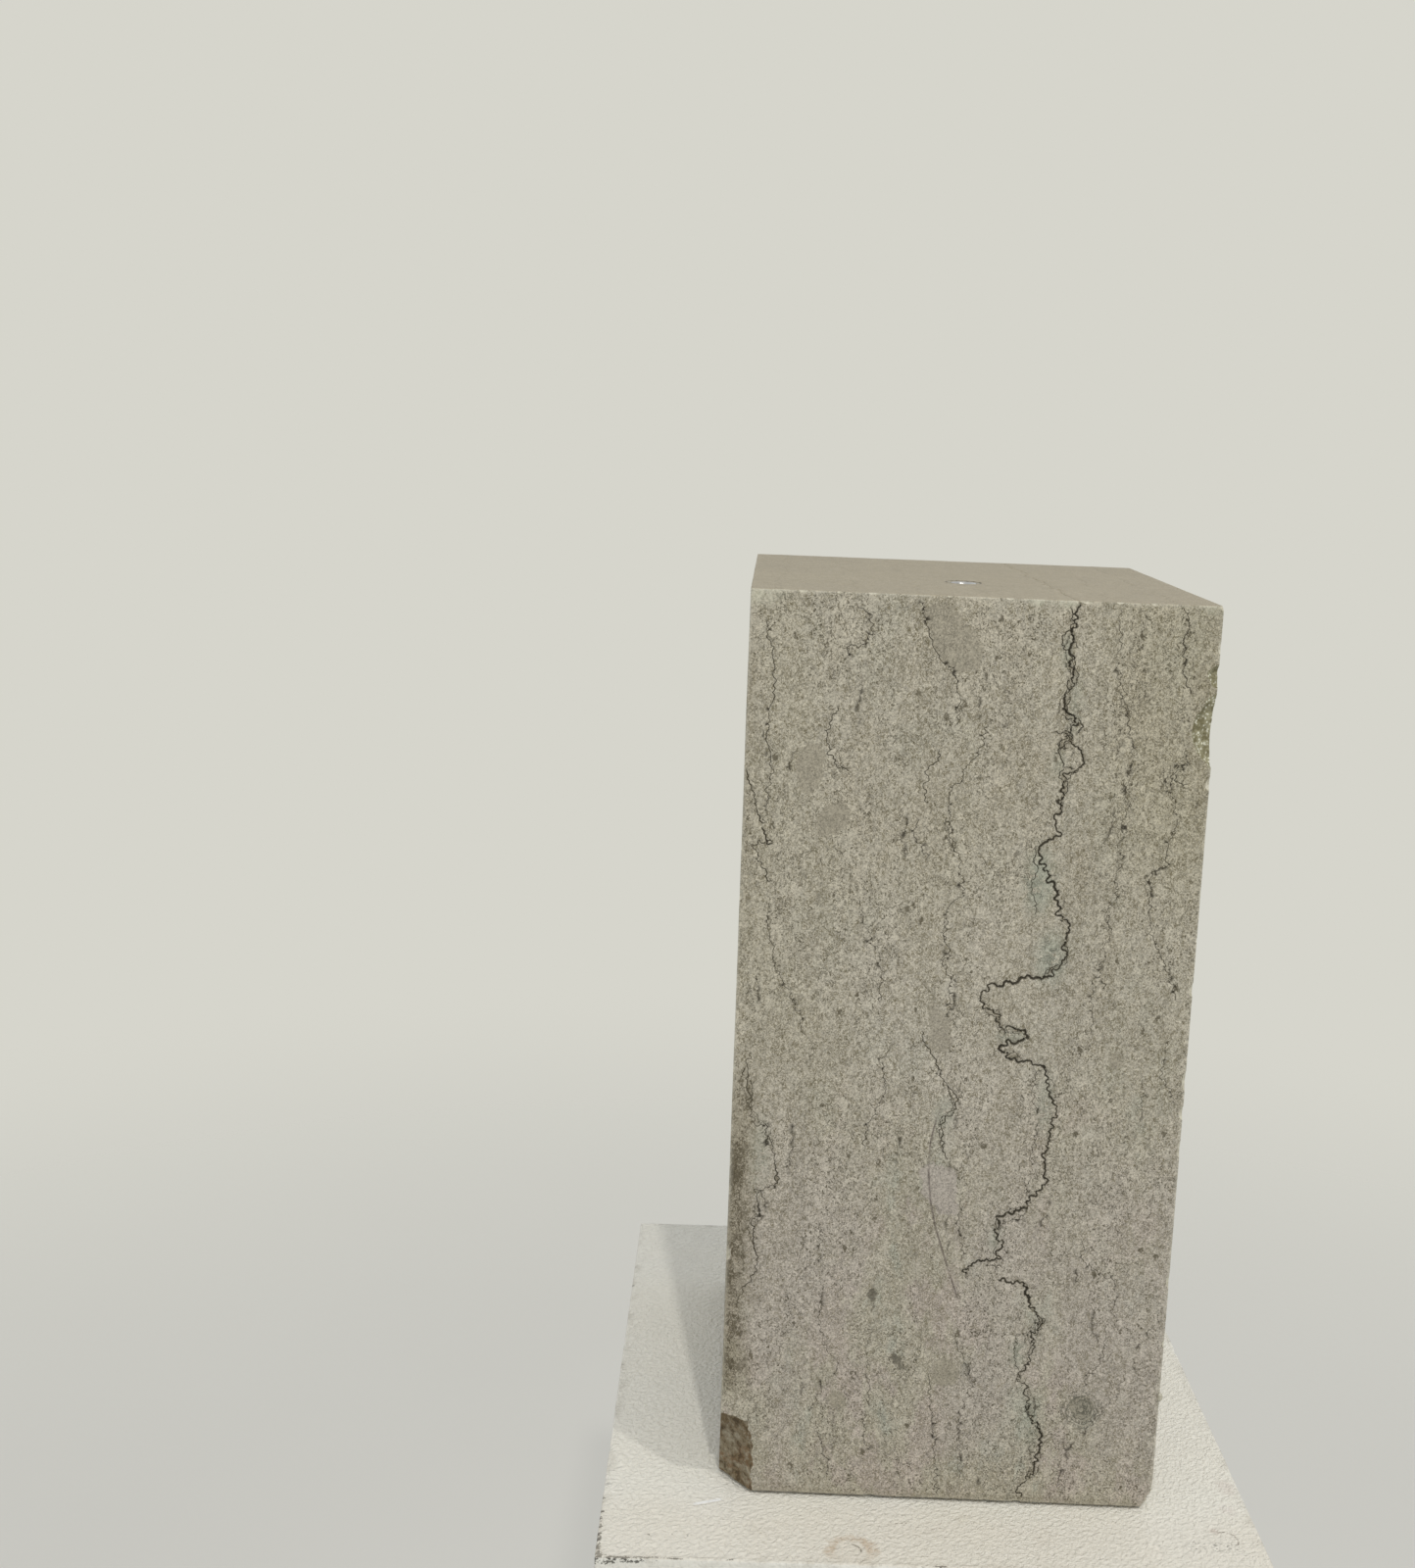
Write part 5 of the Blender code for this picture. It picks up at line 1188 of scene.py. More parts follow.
def rough_box(size, cells, matrix, amp, seed, material, features=(0.007, 0.0022)):
    """A gridded cube with broken-stone relief: points, quads and material numbers."""
    bm = bmesh.new()
    bmesh.ops.create_cube(bm, size=1.0)
    bmesh.ops.subdivide_edges(bm, edges=bm.edges, cuts=cells, use_grid_fill=True)
    bm.verts.index_update()
    pts = np.array([v.co for v in bm.verts]) * size
    faces = [[v.index for v in f.verts] for f in bm.faces]
    bm.free()
    m = np.array(matrix)
    pts = pts @ m[:3, :3].T + m[:3, 3]
    for axis in range(3):
        pts[:, axis] += amp * fbm(pts + axis, features[0], 3, seed + axis) + amp * 0.35 * fbm(pts, features[1], 2, seed + 9 + axis)
    return pts, faces, [material] * len(faces)


def rough_ball(radii, at, seed, material, subdivisions=3, amp=0.22, turn=0.0):
    bm = bmesh.new()
    bmesh.ops.create_icosphere(bm, subdivisions=subdivisions, radius=1.0)
    bm.verts.index_update()
    pts = np.array([v.co for v in bm.verts])
    faces = [[v.index for v in f.verts] for f in bm.faces]
    bm.free()
    lump = 1 + amp * fbm(pts + seed, 0.9, 3, seed) + amp * 0.35 * fbm(pts + seed, 0.22, 2, seed + 3)
    pts = pts * lump[:, None] * np.asarray(radii)
    c, s = math.cos(turn), math.sin(turn)
    pts = pts @ np.array([[c, s, 0], [-s, c, 0], [0, 0, 1]])
    return pts + np.asarray(at), faces, [material] * len(faces)


def stone_losses():
    """What has broken off the block, as one set of closed shapes in the block's own frame."""
    left, right, front, back = -W / 2, W / 2, -D / 2, D / 2
    parts = []
    a = math.radians(-39.8)
    outward = Vector((math.sin(a), -math.cos(a), 0.0))
    foot = Matrix.Translation(Vector((left + 0.0084, front + 0.0070, 0.0042)) + outward * 0.0150)
    foot = foot @ Matrix.Rotation(a, 4, "Z") @ Matrix.Rotation(math.radians(24.5), 4, "Y") @ Matrix.Rotation(math.radians(4), 4, "X")
    parts.append(rough_box(np.array((0.060, 0.030, 0.060)), 64, foot, 0.0015, 61, 1, (0.009, 0.0024)))
    n = Vector((0.80, -0.42, -0.36)).normalized()
    flake = Matrix.Translation(Vector((right - 0.0050, front, 0.0)) + n * 0.015) @ Vector((0, 0, 1)).rotation_difference(n).to_matrix().to_4x4()
    parts.append(rough_box(np.array((0.030, 0.030, 0.030)), 40, flake, 0.0017, 71, 3, (0.0046, 0.0017)))
    parts.append(rough_ball((0.0132, 0.0078, 0.0160), (right + 0.0026, front - 0.0018, 0.3660), 81, 2, 5, 0.28))
    parts.append(rough_ball((0.0066, 0.0042, 0.0060), (right + 0.0010, front - 0.0012, 0.3900), 85, 2, 4, 0.30))
    taken = [((right + 0.003, front, 0.370), 0.022), ((right, front, 0.0), 0.020), ((left, front, 0.0), 0.052)]
    small = [
        ((left + 0.0020, front + 0.0002, H), (0.0062, 0.0032, 0.0034)),
        ((left, front + 0.0050, H), (0.0014, 0.0024, 0.0012)),
        ((right, front, 0.2500), (0.0022, 0.0020, 0.0034)),
        ((right, front, 0.2080), (0.0018, 0.0017, 0.0050)),
        ((right, front, 0.1930), (0.0021, 0.0018, 0.0032)),
        ((right, front, 0.1760), (0.0015, 0.0015, 0.0040)),
        ((right, front, 0.3430), (0.0018, 0.0016, 0.0034)),
        ((right, front, 0.3365), (0.0015, 0.0015, 0.0022)),
        ((right, front, 0.4020), (0.0013, 0.0012, 0.0030)),
        ((right, front + 0.0008, H - 0.0002), (0.0022, 0.0020, 0.0018)),
        ((0.0420, front, H), (0.0034, 0.0012, 0.0014)),
        ((-0.0480, front, H), (0.0026, 0.0010, 0.0010)),
        ((0.0100, front, H), (0.0020, 0.0009, 0.0009)),
        ((-0.0160, front, H), (0.0016, 0.0010, 0.0008)),
        ((0.0710, front, H), (0.0018, 0.0009, 0.0010)),
        ((-0.0780, front, H), (0.0020, 0.0010, 0.0011)),
        ((left, front, 0.3080), (0.0013, 0.0013, 0.0030)),
        ((left, front, 0.1480), (0.0012, 0.0013, 0.0026)),
        ((0.0380, front, 0.0), (0.0026, 0.0012, 0.0014)),
        ((-0.0300, front, 0.0), (0.0022, 0.0012, 0.0013)),
    ]
    rng = random.Random(5)
    tries = 0
    while len(small) < 78 and tries < 3000:
        tries += 1
        axis = rng.choice("xxyzzz")
        sx, sy, sz = rng.choice((left, right)), rng.choice((front, back)), rng.choice((0.0, H))
        at = {"x": (rng.uniform(left, right), sy, sz), "y": (sx, rng.uniform(front, back), sz), "z": (sx, sy, rng.uniform(0.0, H))}[axis]
        r = rng.choice((0.0007, 0.0009, 0.0011, 0.0014, 0.0019)) * rng.uniform(0.8, 1.2)
        longer = rng.uniform(1.2, 2.4)
        radii = tuple(r * longer if c == axis else r for c in "xyz")
        reach = max(radii) * 1.6
        if any((Vector(at) - Vector(c)).length < reach + 0.0045 + max(q) for c, q in small):
            continue
        if any((Vector(at) - Vector(c)).length < reach + q + 0.002 for c, q in taken):
            continue
        small.append((at, radii))
    for k, (at, radii) in enumerate(small):
        parts.append(rough_ball(radii, at, 100 + k * 3, 3, 3 if max(radii) > 0.0015 else 2, 0.30))
    pts, faces, numbers, base = [], [], [], 0
    for p, f, m in parts:
        pts.append(p)
        faces += [[i + base for i in q] for q in f]
        numbers += m
        base += len(p)
    obj = build("stone_losses", np.concatenate(pts), faces, STONE_SET, None, face_material=numbers)
    obj.hide_render = True
    return obj


block = limestone_block()

# ================================================================ painted pedestal panels
plo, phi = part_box("top_panel")
HALF, TOP = phi.x, phi.z
T = TOP - plo.z
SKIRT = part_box("front_panel")[0].z
BRADS = {}
for side, names in {"front": ("brad_front_l", "brad_front_r"), "right": ("brad_right_f", "brad_right_b"), "back": ("brad_back_r", "brad_back_l"), "left": ("brad_left_b", "brad_left_f")}.items():
    BRADS[side] = names


def ease(points, radius):
    """Rounds the pedestal's outer arrises; points lie on its sharp outer box."""
    c = points - (0, 0, TOP / 2)
    half = np.array([HALF, HALF, TOP / 2])
    core = half - radius[:, None]
    q = np.clip(c, -core, core)
    away = c - q
    length = np.linalg.norm(away, axis=1)
    multi = ((np.abs(away) > 1e-9).sum(1) > 1) & (length > radius)
    out = c.copy()
    out[multi] = q[multi] + away[multi] / length[multi, None] * radius[multi, None]
    return out + (0, 0, TOP / 2)


def panel(name, us, vs, grid, layers, to_world, outward, inner, holes, node, paint, seed, mitres):
    """A mitred MDF panel: a finely modelled painted face, mitred edges, and a raw inner face."""
    pts, tris, _, _, _, rings = face(us, vs, grid, layers, (), (), holes, seed=seed)
    flat = to_world(pts[:, 0] * MM, pts[:, 1] * MM)
    n = len(flat)
    out = np.tile(np.asarray(outward, float), (n, 1))
    d = np.stack([pts[:, 0] - us[0], us[-1] - pts[:, 0], pts[:, 1] - vs[0], vs[-1] - pts[:, 1]], 1)
    rim = d.min(1) * MM
    roll = 0.00007 * fbm(flat * (1.0, 1.0, 0.7), 0.0048, 2, seed) + 0.00006 * fbm(flat, 0.016, 2, seed + 4) + 0.00012 * fbm(flat, 0.11, 2, seed + 7)
    ripple = 0.00004 * fbm(flat, 0.0029, 2, seed + 9)
    radius = 0.0009 + 0.0005 * smooth(fbm(flat, 0.030, 2, 3), -0.4, 0.6) + 0.0012 * smooth(fbm(flat, 0.009, 2, 5), 0.42, 0.85)
    eased = ease(flat, radius)
    skin = eased + out * ((roll + ripple) * smooth(rim, 0.0, 0.0025) - 0.00012)[:, None]
    # The mitre joint: filled and painted over, cracked open a hair in places.
    nu, nv = len(us) - 1, len(vs) - 1
    border = 2 * (nu + nv)
    ring = list(range(border))
    lookup = {(round(a, 4), round(b, 4)): i for i, (a, b) in enumerate(pts)}
    loop = [(a, vs[0]) for a in us[:-1]] + [(us[-1], b) for b in vs[:-1]] + [(a, vs[-1]) for a in us[:0:-1]] + [(us[0], b) for b in vs[:0:-1]]
    ring = [lookup[(round(a, 4), round(b, 4))] for a, b in loop]
    which = ["v0"] * nu + ["u1"] * nv + ["v1"] * nu + ["u0"] * nv
    edge_pts = np.array([skin[i] for i in ring])
    opening = 0.00003 + 0.00022 * smooth(fbm(np.array([flat[i] for i in ring]), 0.022, 3, 77), 0.05, 0.55)
    centre_in = np.array([inner_point(a, b, us, vs) for a, b in loop])
    shift_dir = to_world(centre_in[:, 0] * MM, centre_in[:, 1] * MM) - np.array([flat[i] for i in ring])
    length = np.linalg.norm(shift_dir, axis=1)
    for k, i in enumerate(ring):
        if which[k] in mitres:
            skin[i] = skin[i] + shift_dir[k] / max(length[k], 1e-9) * opening[k] * 0.5
    # Inner outline: the mitres run back through the panel's thickness.
    iu0, iu1, iv0, iv1 = inner
    cu = [min(max(a, iu0), iu1) for a, b in loop]
    cv = [min(max(b, iv0), iv1) for a, b in loop]
    su = [iu0 + (a - us[0]) / (us[-1] - us[0]) * (iu1 - iu0) for a, b in loop]
    sv = [iv0 + (b - vs[0]) / (vs[-1] - vs[0]) * (iv1 - iv0) for a, b in loop]
    back = to_world(np.array(su) * MM, np.array(sv) * MM) - np.asarray(outward, float) * T
    rows_v = [skin]
    rows_v.append(back)
    base = n
    F = [tuple(t) for t in tris]
    m = len(loop)
    paint_faces = len(F)
    for k in range(m):
        j = (k + 1) % m
        a, b, c, e = ring[k], ring[j], base + j, base + k
        F.append((b, a, e))
        F.append((b, e, c))
    inner_pts = np.stack([su, sv], 1)
    cdt = delaunay_2d_cdt([Vector(q) for q in inner_pts], [], [], 0, 1e-6)
    remap = [ids[0] for ids in cdt[3]]
    for t in cdt[2]:
        F.append(tuple(base + remap[i] for i in reversed(t)))
    numbers = [0] * paint_faces + [1] * (len(F) - paint_faces)
    extra = n + m
    for ringv, (hu, hv, hr, sides) in zip(rings, holes):
        floor = skin[ringv] - np.asarray(outward, float) * 0.0026
        mid = floor.mean(0)
        rows_v += [floor, mid[None]]
        for k in range(sides):
            j = (k + 1) % sides
            F += [(ringv[j], ringv[k], extra + k), (ringv[j], extra + k, extra + j), (extra + j, extra + k, extra + sides)]
            numbers += [0, 0, 1]
        extra += sides + 1
    V = np.concatenate(rows_v)
    edge = np.zeros(len(V))
    chip = np.zeros(len(V))
    edge[:n] = smooth(rim, 0.006, 0.0004)
    worn = smooth(fbm(flat, 0.016, 3, 91), 0.12, 0.55)
    corner = smooth(np.hypot(flat[:, 0] + HALF, flat[:, 1] + HALF), 0.046, 0.004) * smooth(flat[:, 2], TOP - 0.03, TOP - 0.002)
    others = np.minimum(np.abs(np.abs(flat[:, 0]) - HALF), np.abs(np.abs(flat[:, 1]) - HALF))
    chip[:n] = smooth(rim, 0.0024, 0.0003) * np.clip(worn * 0.50 + corner * (0.64 + 0.6 * worn), 0, 1)
    # orientation: faces were wound for a face looking out of the page
    V_, F_ = V, F
    a, b, c = (V_[list(x)] for x in zip(*[f[:3] for f in F_[:200]]))
    if np.dot(np.cross(b - a, c - a).sum(0), np.asarray(outward, float)) < 0:
        F_ = [tuple(reversed(f)) for f in F_]
    return build(name, V_, F_, [paint, MDF], "pedestal", (node,), {"edge": edge, "chip": chip}, 38.0, face_material=numbers)


def inner_point(a, b, us, vs):
    cu, cv = (us[0] + us[-1]) / 2, (vs[0] + vs[-1]) / 2
    w, h = (us[-1] - us[0]) / 2, (vs[-1] - vs[0]) / 2
    k = min(w, h) * 0.5
    return (min(max(a, us[0] + k), us[-1] - k), min(max(b, vs[0] + k), vs[-1] - k))


half_mm = HALF / MM
t_mm = T / MM
edge_us = np.linspace(-half_mm, half_mm, 241)
edge_vs = np.linspace(SKIRT / MM, TOP / MM, 397)
panel(
    "top_panel_painted", edge_us, edge_us, 1.45, [(0.45, 1.25), (1.0, 1.3)],
    lambda u, v: np.stack([u, v, np.full_like(u, TOP)], 1), (0, 0, 1),
    (-half_mm + t_mm, half_mm - t_mm, -half_mm + t_mm, half_mm - t_mm), (), "top_panel", PAINT_TOP, 5, ("u0", "u1", "v0", "v1"))
side_us = np.linspace(-half_mm, half_mm, 241)
for k, side in enumerate(("front", "right", "back", "left")):
    spin = np.array(Matrix.Rotation(math.radians(90 * k if side != "left" else -90), 3, "Z"))
    brads = [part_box(nm) for nm in BRADS[side]]
    holes = []
    for low, high in brads:
        c = np.array((low + high) / 2)
        local = spin.T @ c
        holes.append((local[0] / MM, c[2] / MM, 1.55, 16))

    def to_world(u, v, spin=spin):
        return np.stack([u, np.full_like(u, -HALF), v], 1) @ spin.T

    panel(
        side + "_panel_painted", side_us, edge_vs, 4.2, [(0.45, 1.25), (1.1, 1.5), (2.2, 2.0), (4.2, 3.0)],
        to_world, tuple(spin @ np.array((0, -1.0, 0))), (-half_mm + t_mm, half_mm - t_mm, SKIRT / MM, TOP / MM - t_mm),
        holes, side + "_panel", PAINT_SIDE_SHADED, 11 + k, ("u0", "u1", "v1"))


# ================================================================ turned and threaded hardware
def lathe(name, rows, sides, at, material, body, node, axis=None, cap=(True, True), attrs=None, angle=35.0):
    """Rows of (height, radius) from the bottom up; a radius may be a function of the angle."""
    a = np.arange(sides) * math.tau / sides
    pts = []
    for z, r in rows:
        rr = r(a) if callable(r) else np.full(sides, float(r))
        pts.append(np.stack([rr * np.cos(a), rr * np.sin(a), np.full(sides, float(z))], 1))
    faces = []
    for i in range(len(rows) - 1):
        for j in range(sides):
            k = (j + 1) % sides
            faces.append((i * sides + j, i * sides + k, (i + 1) * sides + k, (i + 1) * sides + j))
    V = np.concatenate(pts)
    if cap[0]:
        V = np.concatenate([V, [[0, 0, rows[0][0]]]])
        faces += [((j + 1) % sides, j, len(V) - 1) for j in range(sides)]
    if cap[1]:
        V = np.concatenate([V, [[0, 0, rows[-1][0]]]])
        o = (len(rows) - 1) * sides
        faces += [(o + j, o + (j + 1) % sides, len(V) - 1) for j in range(sides)]
    if axis is not None:
        m = np.array(Vector((0, 0, 1)).rotation_difference(Vector(axis)).to_matrix())
        V = V @ m.T
    V = V + np.asarray(at)
    return build(name, V, faces, [material], body, (node,), None, angle)


def thread_radius(z, pitch, minor, major, hand=1.0):
    def r(a):
        t = np.abs(2 * ((z / pitch - hand * a / math.tau) % 1.0) - 1)
        return minor + (major - minor) * smooth(t, 0.18, 0.86)
    return r


def hexagon(across, chamfer):
    def r(a):
        k = (a + math.pi / 6) % (math.pi / 3) - math.pi / 6
        return np.minimum(across / 2 / np.cos(k), chamfer)
    return r


def closed_profile(name, rows, sides, at, material, body, node, angle=35.0):
    """A ring-shaped turned piece: rows run round a closed section."""
    a = np.arange(sides) * math.tau / sides
    pts, n = [], len(rows)
    for z, r in rows:
        rr = r(a) if callable(r) else np.full(sides, float(r))
        pts.append(np.stack([rr * np.cos(a), rr * np.sin(a), np.full(sides, float(z))], 1))
    faces = []
    for i in range(n):
        i2 = (i + 1) % n
        for j in range(sides):
            k = (j + 1) % sides
            faces.append((i * sides + j, i * sides + k, i2 * sides + k, i2 * sides + j))
    V = np.concatenate(pts) + np.asarray(at)
    return build(name, V, faces, [material], body, (node,), None, angle)


PITCH = 0.0015
for key in CORNERS:
    low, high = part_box("leveller_stem_" + key)
    x, y = (low.x + high.x) / 2, (low.y + high.y) / 2
    top = high.z
    rows = [(0.00455, 0.0040), (0.0048, 0.0058), (0.0055, 0.0064), (0.0072, 0.0065), (0.0084, 0.0060), (0.00895, 0.0045), (0.0090, 0.0035), (0.0112, 0.00345), (0.0140, 0.0035), (0.01495, 0.0038)]
    across = 0.014
    rows += [(0.0150, hexagon(across, 0.0068)), (0.0156, hexagon(across, 0.00775)), (0.0162, hexagon(across, 0.0090)), (0.0199, hexagon(across, 0.0090)), (0.0205, hexagon(across, 0.00775)), (0.0210, hexagon(across, 0.0068))]
    rows += [(0.02105, 0.0050), (0.0216, 0.0044)]
    z = 0.0220
    while z < top - 0.0012:
        rows.append((z, thread_radius(z, PITCH, 0.00415, 0.00497)))
        z += PITCH / 8
    rows += [(top - 0.0010, 0.0041), (top - 0.0002, 0.0036), (top, 0.0030)]
    lathe("threaded_stem_" + key, rows, 48, (x, y, 0), ZINC, "foot_stem_" + key, "leveller_stem_" + key)

    def ribs(base, depth, count=24, lo=0.0):
        return lambda a: base + depth * (0.5 + 0.5 * np.cos(a * count)) ** 3
    pad = [
        (0.0042, 0.0), (0.0042, 0.0060), (0.0048, 0.0067), (0.0090, 0.0068), (0.0093, 0.0060), (0.0094, 0.0040), (0.0100, 0.00385), (0.0136, 0.00385),
        (0.0140, 0.0044), (0.01402, 0.0070), (0.0140, 0.0096), (0.0137, 0.0101), (0.0130, 0.0108), (0.0118, ribs(0.0111, 0.0004)), (0.0095, ribs(0.0117, 0.0007)), (0.0075, ribs(0.0124, 0.0008)),
        (0.0062, ribs(0.0136, 0.0007)), (0.0052, 0.0160), (0.0045, 0.0180), (0.0040, 0.0192), (0.0034, 0.01975), (0.0026, 0.0200), (0.0010, 0.0200), (0.0004, 0.0198), (0.0001, 0.0193),
        (0.0, 0.0186), (0.0, 0.0172), (0.0004, 0.0168), (0.0004, 0.0128), (0.0, 0.0124), (0.0, 0.0088), (0.0004, 0.0084), (0.0004, 0.0044), (0.0, 0.0040), (0.0, 0.0),
    ]
    pad = [(zz, max(r, 0.00004) if not callable(r) else r) for zz, r in pad]
    lathe("swivel_pad_" + key, pad[::-1], 96, (x, y, 0), NYLON, "foot_pad_" + key, "leveller_pad_" + key)

    tlo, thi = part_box("tee_nut_" + key)
    f0, f1, t1 = tlo.z, tlo.z + 0.0015, thi.z

    def prong_plate(radius):
        return lambda a: radius * (1 - 0.035 * (0.5 + 0.5 * np.cos(a * 4)) ** 6)
    barrel = [(t1, 0.0060), (t1 - 0.0003, 0.0062), (f1 + 0.0008, 0.0062), (f1, 0.0068), (f1, prong_plate(0.0116)), (f1 - 0.0003, prong_plate(0.0120)), (f0 + 0.0003, prong_plate(0.0120)), (f0, prong_plate(0.0117)), (f0, 0.0062)]
    z = f0 + 0.0002
    while z < t1 - 0.0002:
        barrel.append((z, thread_radius(z, PITCH, 0.00515, 0.00560)))
        z += PITCH / 8
    barrel.append((t1, 0.0056))
    closed_profile("threaded_insert_" + key, barrel[::-1], 48, (x, y, 0), ZINC, "pedestal", "tee_nut_" + key)

# Panel brads: domed, punched heads and tapered shanks.
for side, turn in (("front", 0), ("right", 90), ("back", 180), ("left", -90)):
    spin = Matrix.Rotation(math.radians(turn), 3, "Z")
    outward = spin @ Vector((0, -1, 0))
    for brad in BRADS[side]:
        low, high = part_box(brad)
        mid = (low + high) / 2
        inner_end = mid - outward * ((high - low).length * 0 + abs((high - low).dot(Vector([abs(c) for c in outward]))) / 2)
        length = abs((high - low).dot(Vector([abs(c) for c in outward])))
        rows = [(0.0, 0.00012), (0.0012, 0.00048), (0.0024, 0.00078), (length - 0.0016, 0.00080), (length - 0.0011, 0.0009), (length - 0.0008, 0.00118), (length - 0.0003, 0.00130), (length - 0.00008, 0.00122), (length, 0.0008), (length - 0.00006, 0.0003)]
        lathe("punched_" + brad, rows, 24, tuple(inner_end), RUSTY, "pedestal", brad, axis=tuple(outward))

# Threaded socket and its resin collar in the block's top.
slo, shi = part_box("fixing_socket")
sx, sy = (slo.x + shi.x) / 2, (slo.y + shi.y) / 2
s_top, s_low = shi.z, slo.z
rows = [(s_low, 0.00008), (s_low, 0.0054), (s_low + 0.0006, 0.0060)]
z = s_low + 0.001
while z < s_top - 0.001:
    k = int(round((z - s_low) / 0.0008))
    rows.append((z, 0.00598 if k % 2 else 0.00572))
    z += 0.0008
rows += [(s_top - 0.0004, 0.0060), (s_top - 0.00012, 0.00592), (s_top, 0.00575), (s_top, 0.0044), (s_top - 0.0003, 0.0041), (s_top - 0.0008, 0.0038)]
z = s_top - 0.0010
while z > s_low + 0.0060:
    rows.append((z, thread_radius(z, 0.00125, 0.00345, 0.00400, 1.0)))
    z -= 0.00125 / 8
rows += [(s_low + 0.0056, 0.0034), (s_low + 0.0042, 0.00008)]
lathe("threaded_socket", rows, 64, (sx, sy, 0), STAINLESS, "stone", "fixing_socket", cap=(True, True))
rlo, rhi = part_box("socket_resin")
r_top, r_low = rhi.z, rlo.z


def meniscus(base, depth, seed):
    return lambda a: base + depth * np.sin(a * 3 + seed) * 0.5 + depth * np.sin(a * 7 + seed * 2) * 0.5


collar = [(r_low, 0.00008), (r_low, 0.0072), (r_low + 0.0006, 0.0078), (r_top - 0.0060, 0.0078), (r_top - 0.0005, 0.0079), (r_top - 0.00005, meniscus(0.00785, 0.00012, 1.0)), (r_top - 0.00016, meniscus(0.0074, 0.0001, 2.0)), (r_top - 0.00022, 0.0068), (r_top - 0.0001, 0.00635), (r_top - 0.0004, 0.0062), (r_low + 0.0024, 0.0062), (r_low + 0.0023, 0.00008)]
lathe("resin_collar", collar, 64, (sx, sy, 0), RESIN, "stone", "socket_resin")

# Felt discs: slightly furred edges and a pressed, uneven face.
for n, key in enumerate(CORNERS):
    low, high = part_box("felt_pad_" + key)
    x, y, r = (low.x + high.x) / 2, (low.y + high.y) / 2, (high.x - low.x) / 2
    z0, z1 = low.z, high.z

    def fuzz(base, seed):
        def f(a):
            p = np.stack([np.cos(a) * 0.012, np.sin(a) * 0.012, np.full_like(a, seed * 0.01)], 1)
            return base + 0.00022 * fbm(p, 0.0012, 2, seed)
        return f
    rows = [(z0 + 0.00002, 0.004), (z0, 0.008), (z0, fuzz(r - 0.0008, n)), (z0 + 0.0001, fuzz(r - 0.00025, n + 9)), (z0 + 0.00028, fuzz(r - 0.0001, n + 5)), ((z0 + z1) / 2, fuzz(r, n + 2)), (z1 - 0.0002, fuzz(r - 0.0001, n + 7)), (z1 - 0.00005, fuzz(r - 0.0003, n + 3)), (z1, fuzz(r - 0.001, n)), (z1, 0.008), (z1 - 0.00002, 0.004)]
    lathe("felt_disc_" + key, rows, 120, (x, y, 0), FELT, "stone", "felt_pad_" + key)

# ================================================================ carcass: CAD shapes, eased and finished
CARCASS = {}
for key in CORNERS:
    CARCASS["corner_batten_" + key] = (PINE_UP, "softwood", 0.0012)
    CARCASS["base_screw_" + key] = (ZINC, "zinc_plated_steel", 0.0)
for side, pine in (("front", PINE_X), ("back", PINE_X), ("left", PINE_Y), ("right", PINE_Y)):
    CARCASS["top_cleat_" + side] = (pine, "softwood", 0.0010)
    CARCASS["cleat_screw_" + side] = (ZINC, "zinc_plated_steel", 0.0)
CARCASS["mid_brace"] = (PLY, "birch_plywood", 0.0006)
CARCASS["base_board"] = (PLY, "birch_plywood", 0.0006)
for name, (material, slot, ease_by) in CARCASS.items():
    obj = frame["nodes"][name]
    if obj.material_slots:
        for held in obj.material_slots:
            held.link = "OBJECT"
            held.material = material
    else:
        obj.data.materials.append(material)
    if ease_by:
        mod = obj.modifiers.new("eased", "BEVEL")
        mod.width = ease_by
        mod.segments = 2
        mod.limit_method = "ANGLE"
        mod.angle_limit = math.radians(60)

# ================================================================ stage, light and camera
floor_mat = Finish("studio_floor")
fp = floor_mat.p
fx, fy, fz = floor_mat.axes(fp)
fr = floor_mat.math("SQRT", floor_mat.add(floor_mat.mul(fx, fx), floor_mat.mul(fy, fy)))
cloud = floor_mat.noise(fp, 1.3, 3.0, 0.5)
pale = floor_mat.gain((0.80, 0.785, 0.735), floor_mat.add(0.96, floor_mat.mul(cloud, 0.06)))
floor_mat.done(pale, 0.8, specular=0.2)
fade = floor_mat.step(fr, 1.3, 3.4)
clear = floor_mat.tree.nodes.new("ShaderNodeBsdfTransparent")
join = floor_mat.tree.nodes.new("ShaderNodeMixShader")
floor_mat.put(join.inputs[0], fade)
floor_mat.put(join.inputs[1], floor_mat.bsdf.outputs[0])
floor_mat.put(join.inputs[2], clear.outputs[0])
floor_mat.put(floor_mat.out.inputs["Surface"], join.outputs[0])
bm = bmesh.new()
bmesh.ops.create_circle(bm, cap_ends=True, radius=3.6, segments=96)
floor_mesh = bpy.data.meshes.new("studio_floor")
bm.to_mesh(floor_mesh)
bm.free()
floor_mesh.materials.append(floor_mat.mat)
floor = bpy.data.objects.new("studio_floor", floor_mesh)
floor.location = (0, 0, -0.0004)
bpy.context.scene.collection.objects.link(floor)

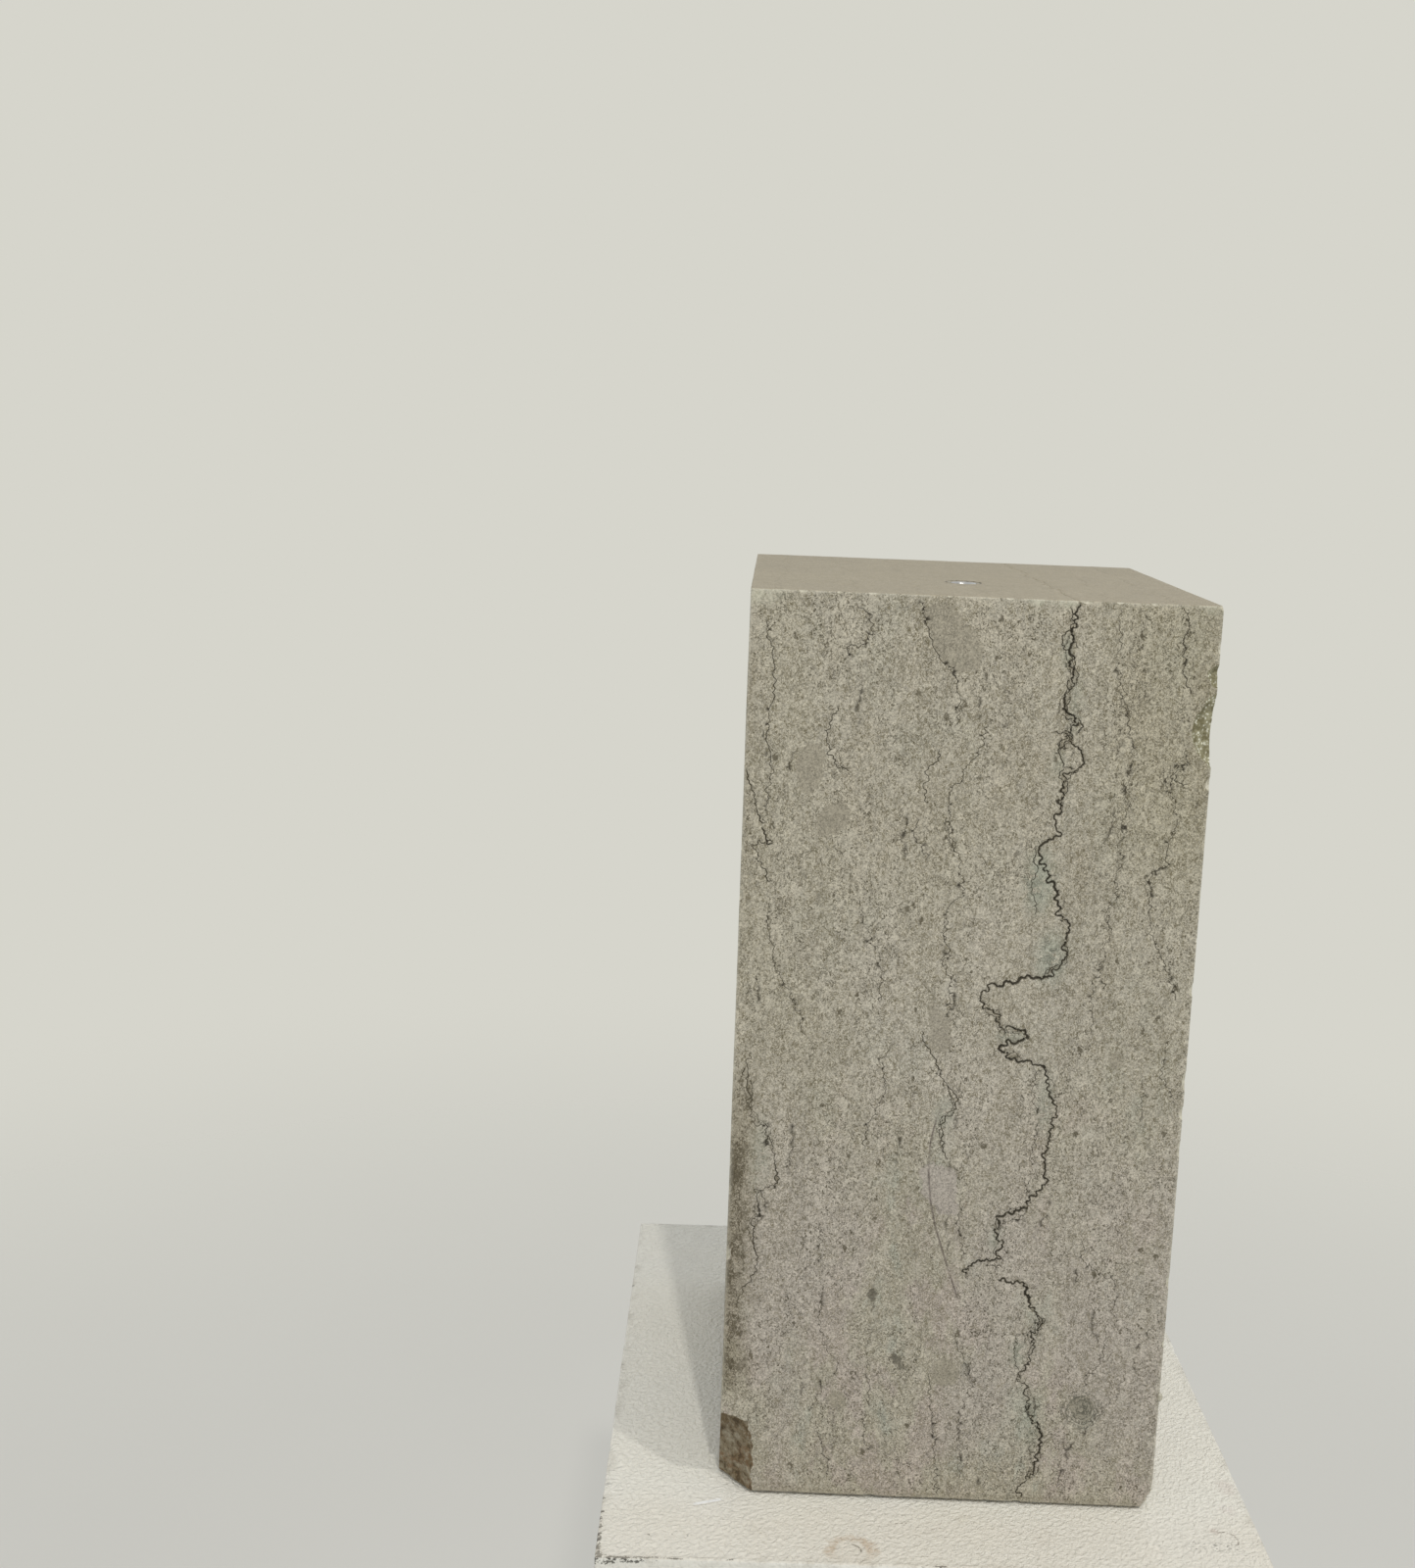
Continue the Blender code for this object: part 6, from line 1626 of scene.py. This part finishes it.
world = bpy.data.worlds.new("studio") if not bpy.data.worlds else bpy.data.worlds[0]
bpy.context.scene.world = world
world.use_nodes = True
wt = world.node_tree
wt.nodes.clear()
w_out = wt.nodes.new("ShaderNodeOutputWorld")
w_mix = wt.nodes.new("ShaderNodeMixShader")
w_light = wt.nodes.new("ShaderNodeBackground")
w_seen = wt.nodes.new("ShaderNodeBackground")
w_path = wt.nodes.new("ShaderNodeLightPath")
w_light.inputs[0].default_value = (0.985, 1.0, 1.0, 1.0)
w_light.inputs[1].default_value = 0.633
w_seen.inputs[0].default_value = (*lin(214, 213, 204), 1.0)
w_seen.inputs[1].default_value = 1.0
wt.links.new(w_path.outputs["Is Camera Ray"], w_mix.inputs[0])
wt.links.new(w_light.outputs[0], w_mix.inputs[1])
wt.links.new(w_seen.outputs[0], w_mix.inputs[2])
wt.links.new(w_mix.outputs[0], w_out.inputs[0])


def lamp(name, toward, elevation, distance, power, size, colour):
    """A soft square light, aimed at the block."""
    target = Vector((-0.0973, -0.1041, 1.0))
    flat = Vector((*toward, 0.0)).normalized()
    e = math.radians(elevation)
    direction = flat * math.cos(e) + Vector((0, 0, math.sin(e)))
    data = bpy.data.lights.new(name, "AREA")
    data.shape = "DISK"
    data.size = size
    data.energy = power
    data.color = colour
    obj = bpy.data.objects.new(name, data)
    obj.location = target + direction * distance
    obj.rotation_mode = "QUATERNION"
    obj.rotation_quaternion = direction.to_track_quat("Z", "Y")
    bpy.context.scene.collection.objects.link(obj)
    obj.visible_camera = False
    return obj


lamp("key_a", (0.1605, -0.987), 55.0, 2.8, 16.5, 0.07, (1.0, 0.975, 0.925))
lamp("key_b", (0.7506, -0.6608), 55.0, 2.8, 12.6, 0.10, (1.0, 0.975, 0.925))

camera_data = bpy.data.cameras.new("viewing_camera")
camera_data.sensor_fit = "AUTO"
camera_data.sensor_width = 36.0
camera_data.lens = 36.0 * 1649.9 / 1600.0
camera_data.shift_x = (722.0 - 778.7) / 1600.0
camera_data.shift_y = (690.0 - 800.0) / 1600.0
camera_data.clip_start, camera_data.clip_end = 0.02, 60.0
camera = bpy.data.objects.new("viewing_camera", camera_data)
right_axis = Vector((0.9992602, -0.0068386, 0.0378465))
down_axis = Vector((0.0363551, -0.1530836, -0.9875443))
ahead = Vector((0.0125471, 0.9881896, -0.1527218))
rotation = Matrix((right_axis, -down_axis, -ahead)).transposed()
camera.matrix_world = Matrix.Translation((-0.0992, -0.7876, 1.4893)) @ rotation.to_4x4()
bpy.context.scene.collection.objects.link(camera)
bpy.context.scene.camera = camera
bpy.context.scene.view_settings.view_transform = "Standard"
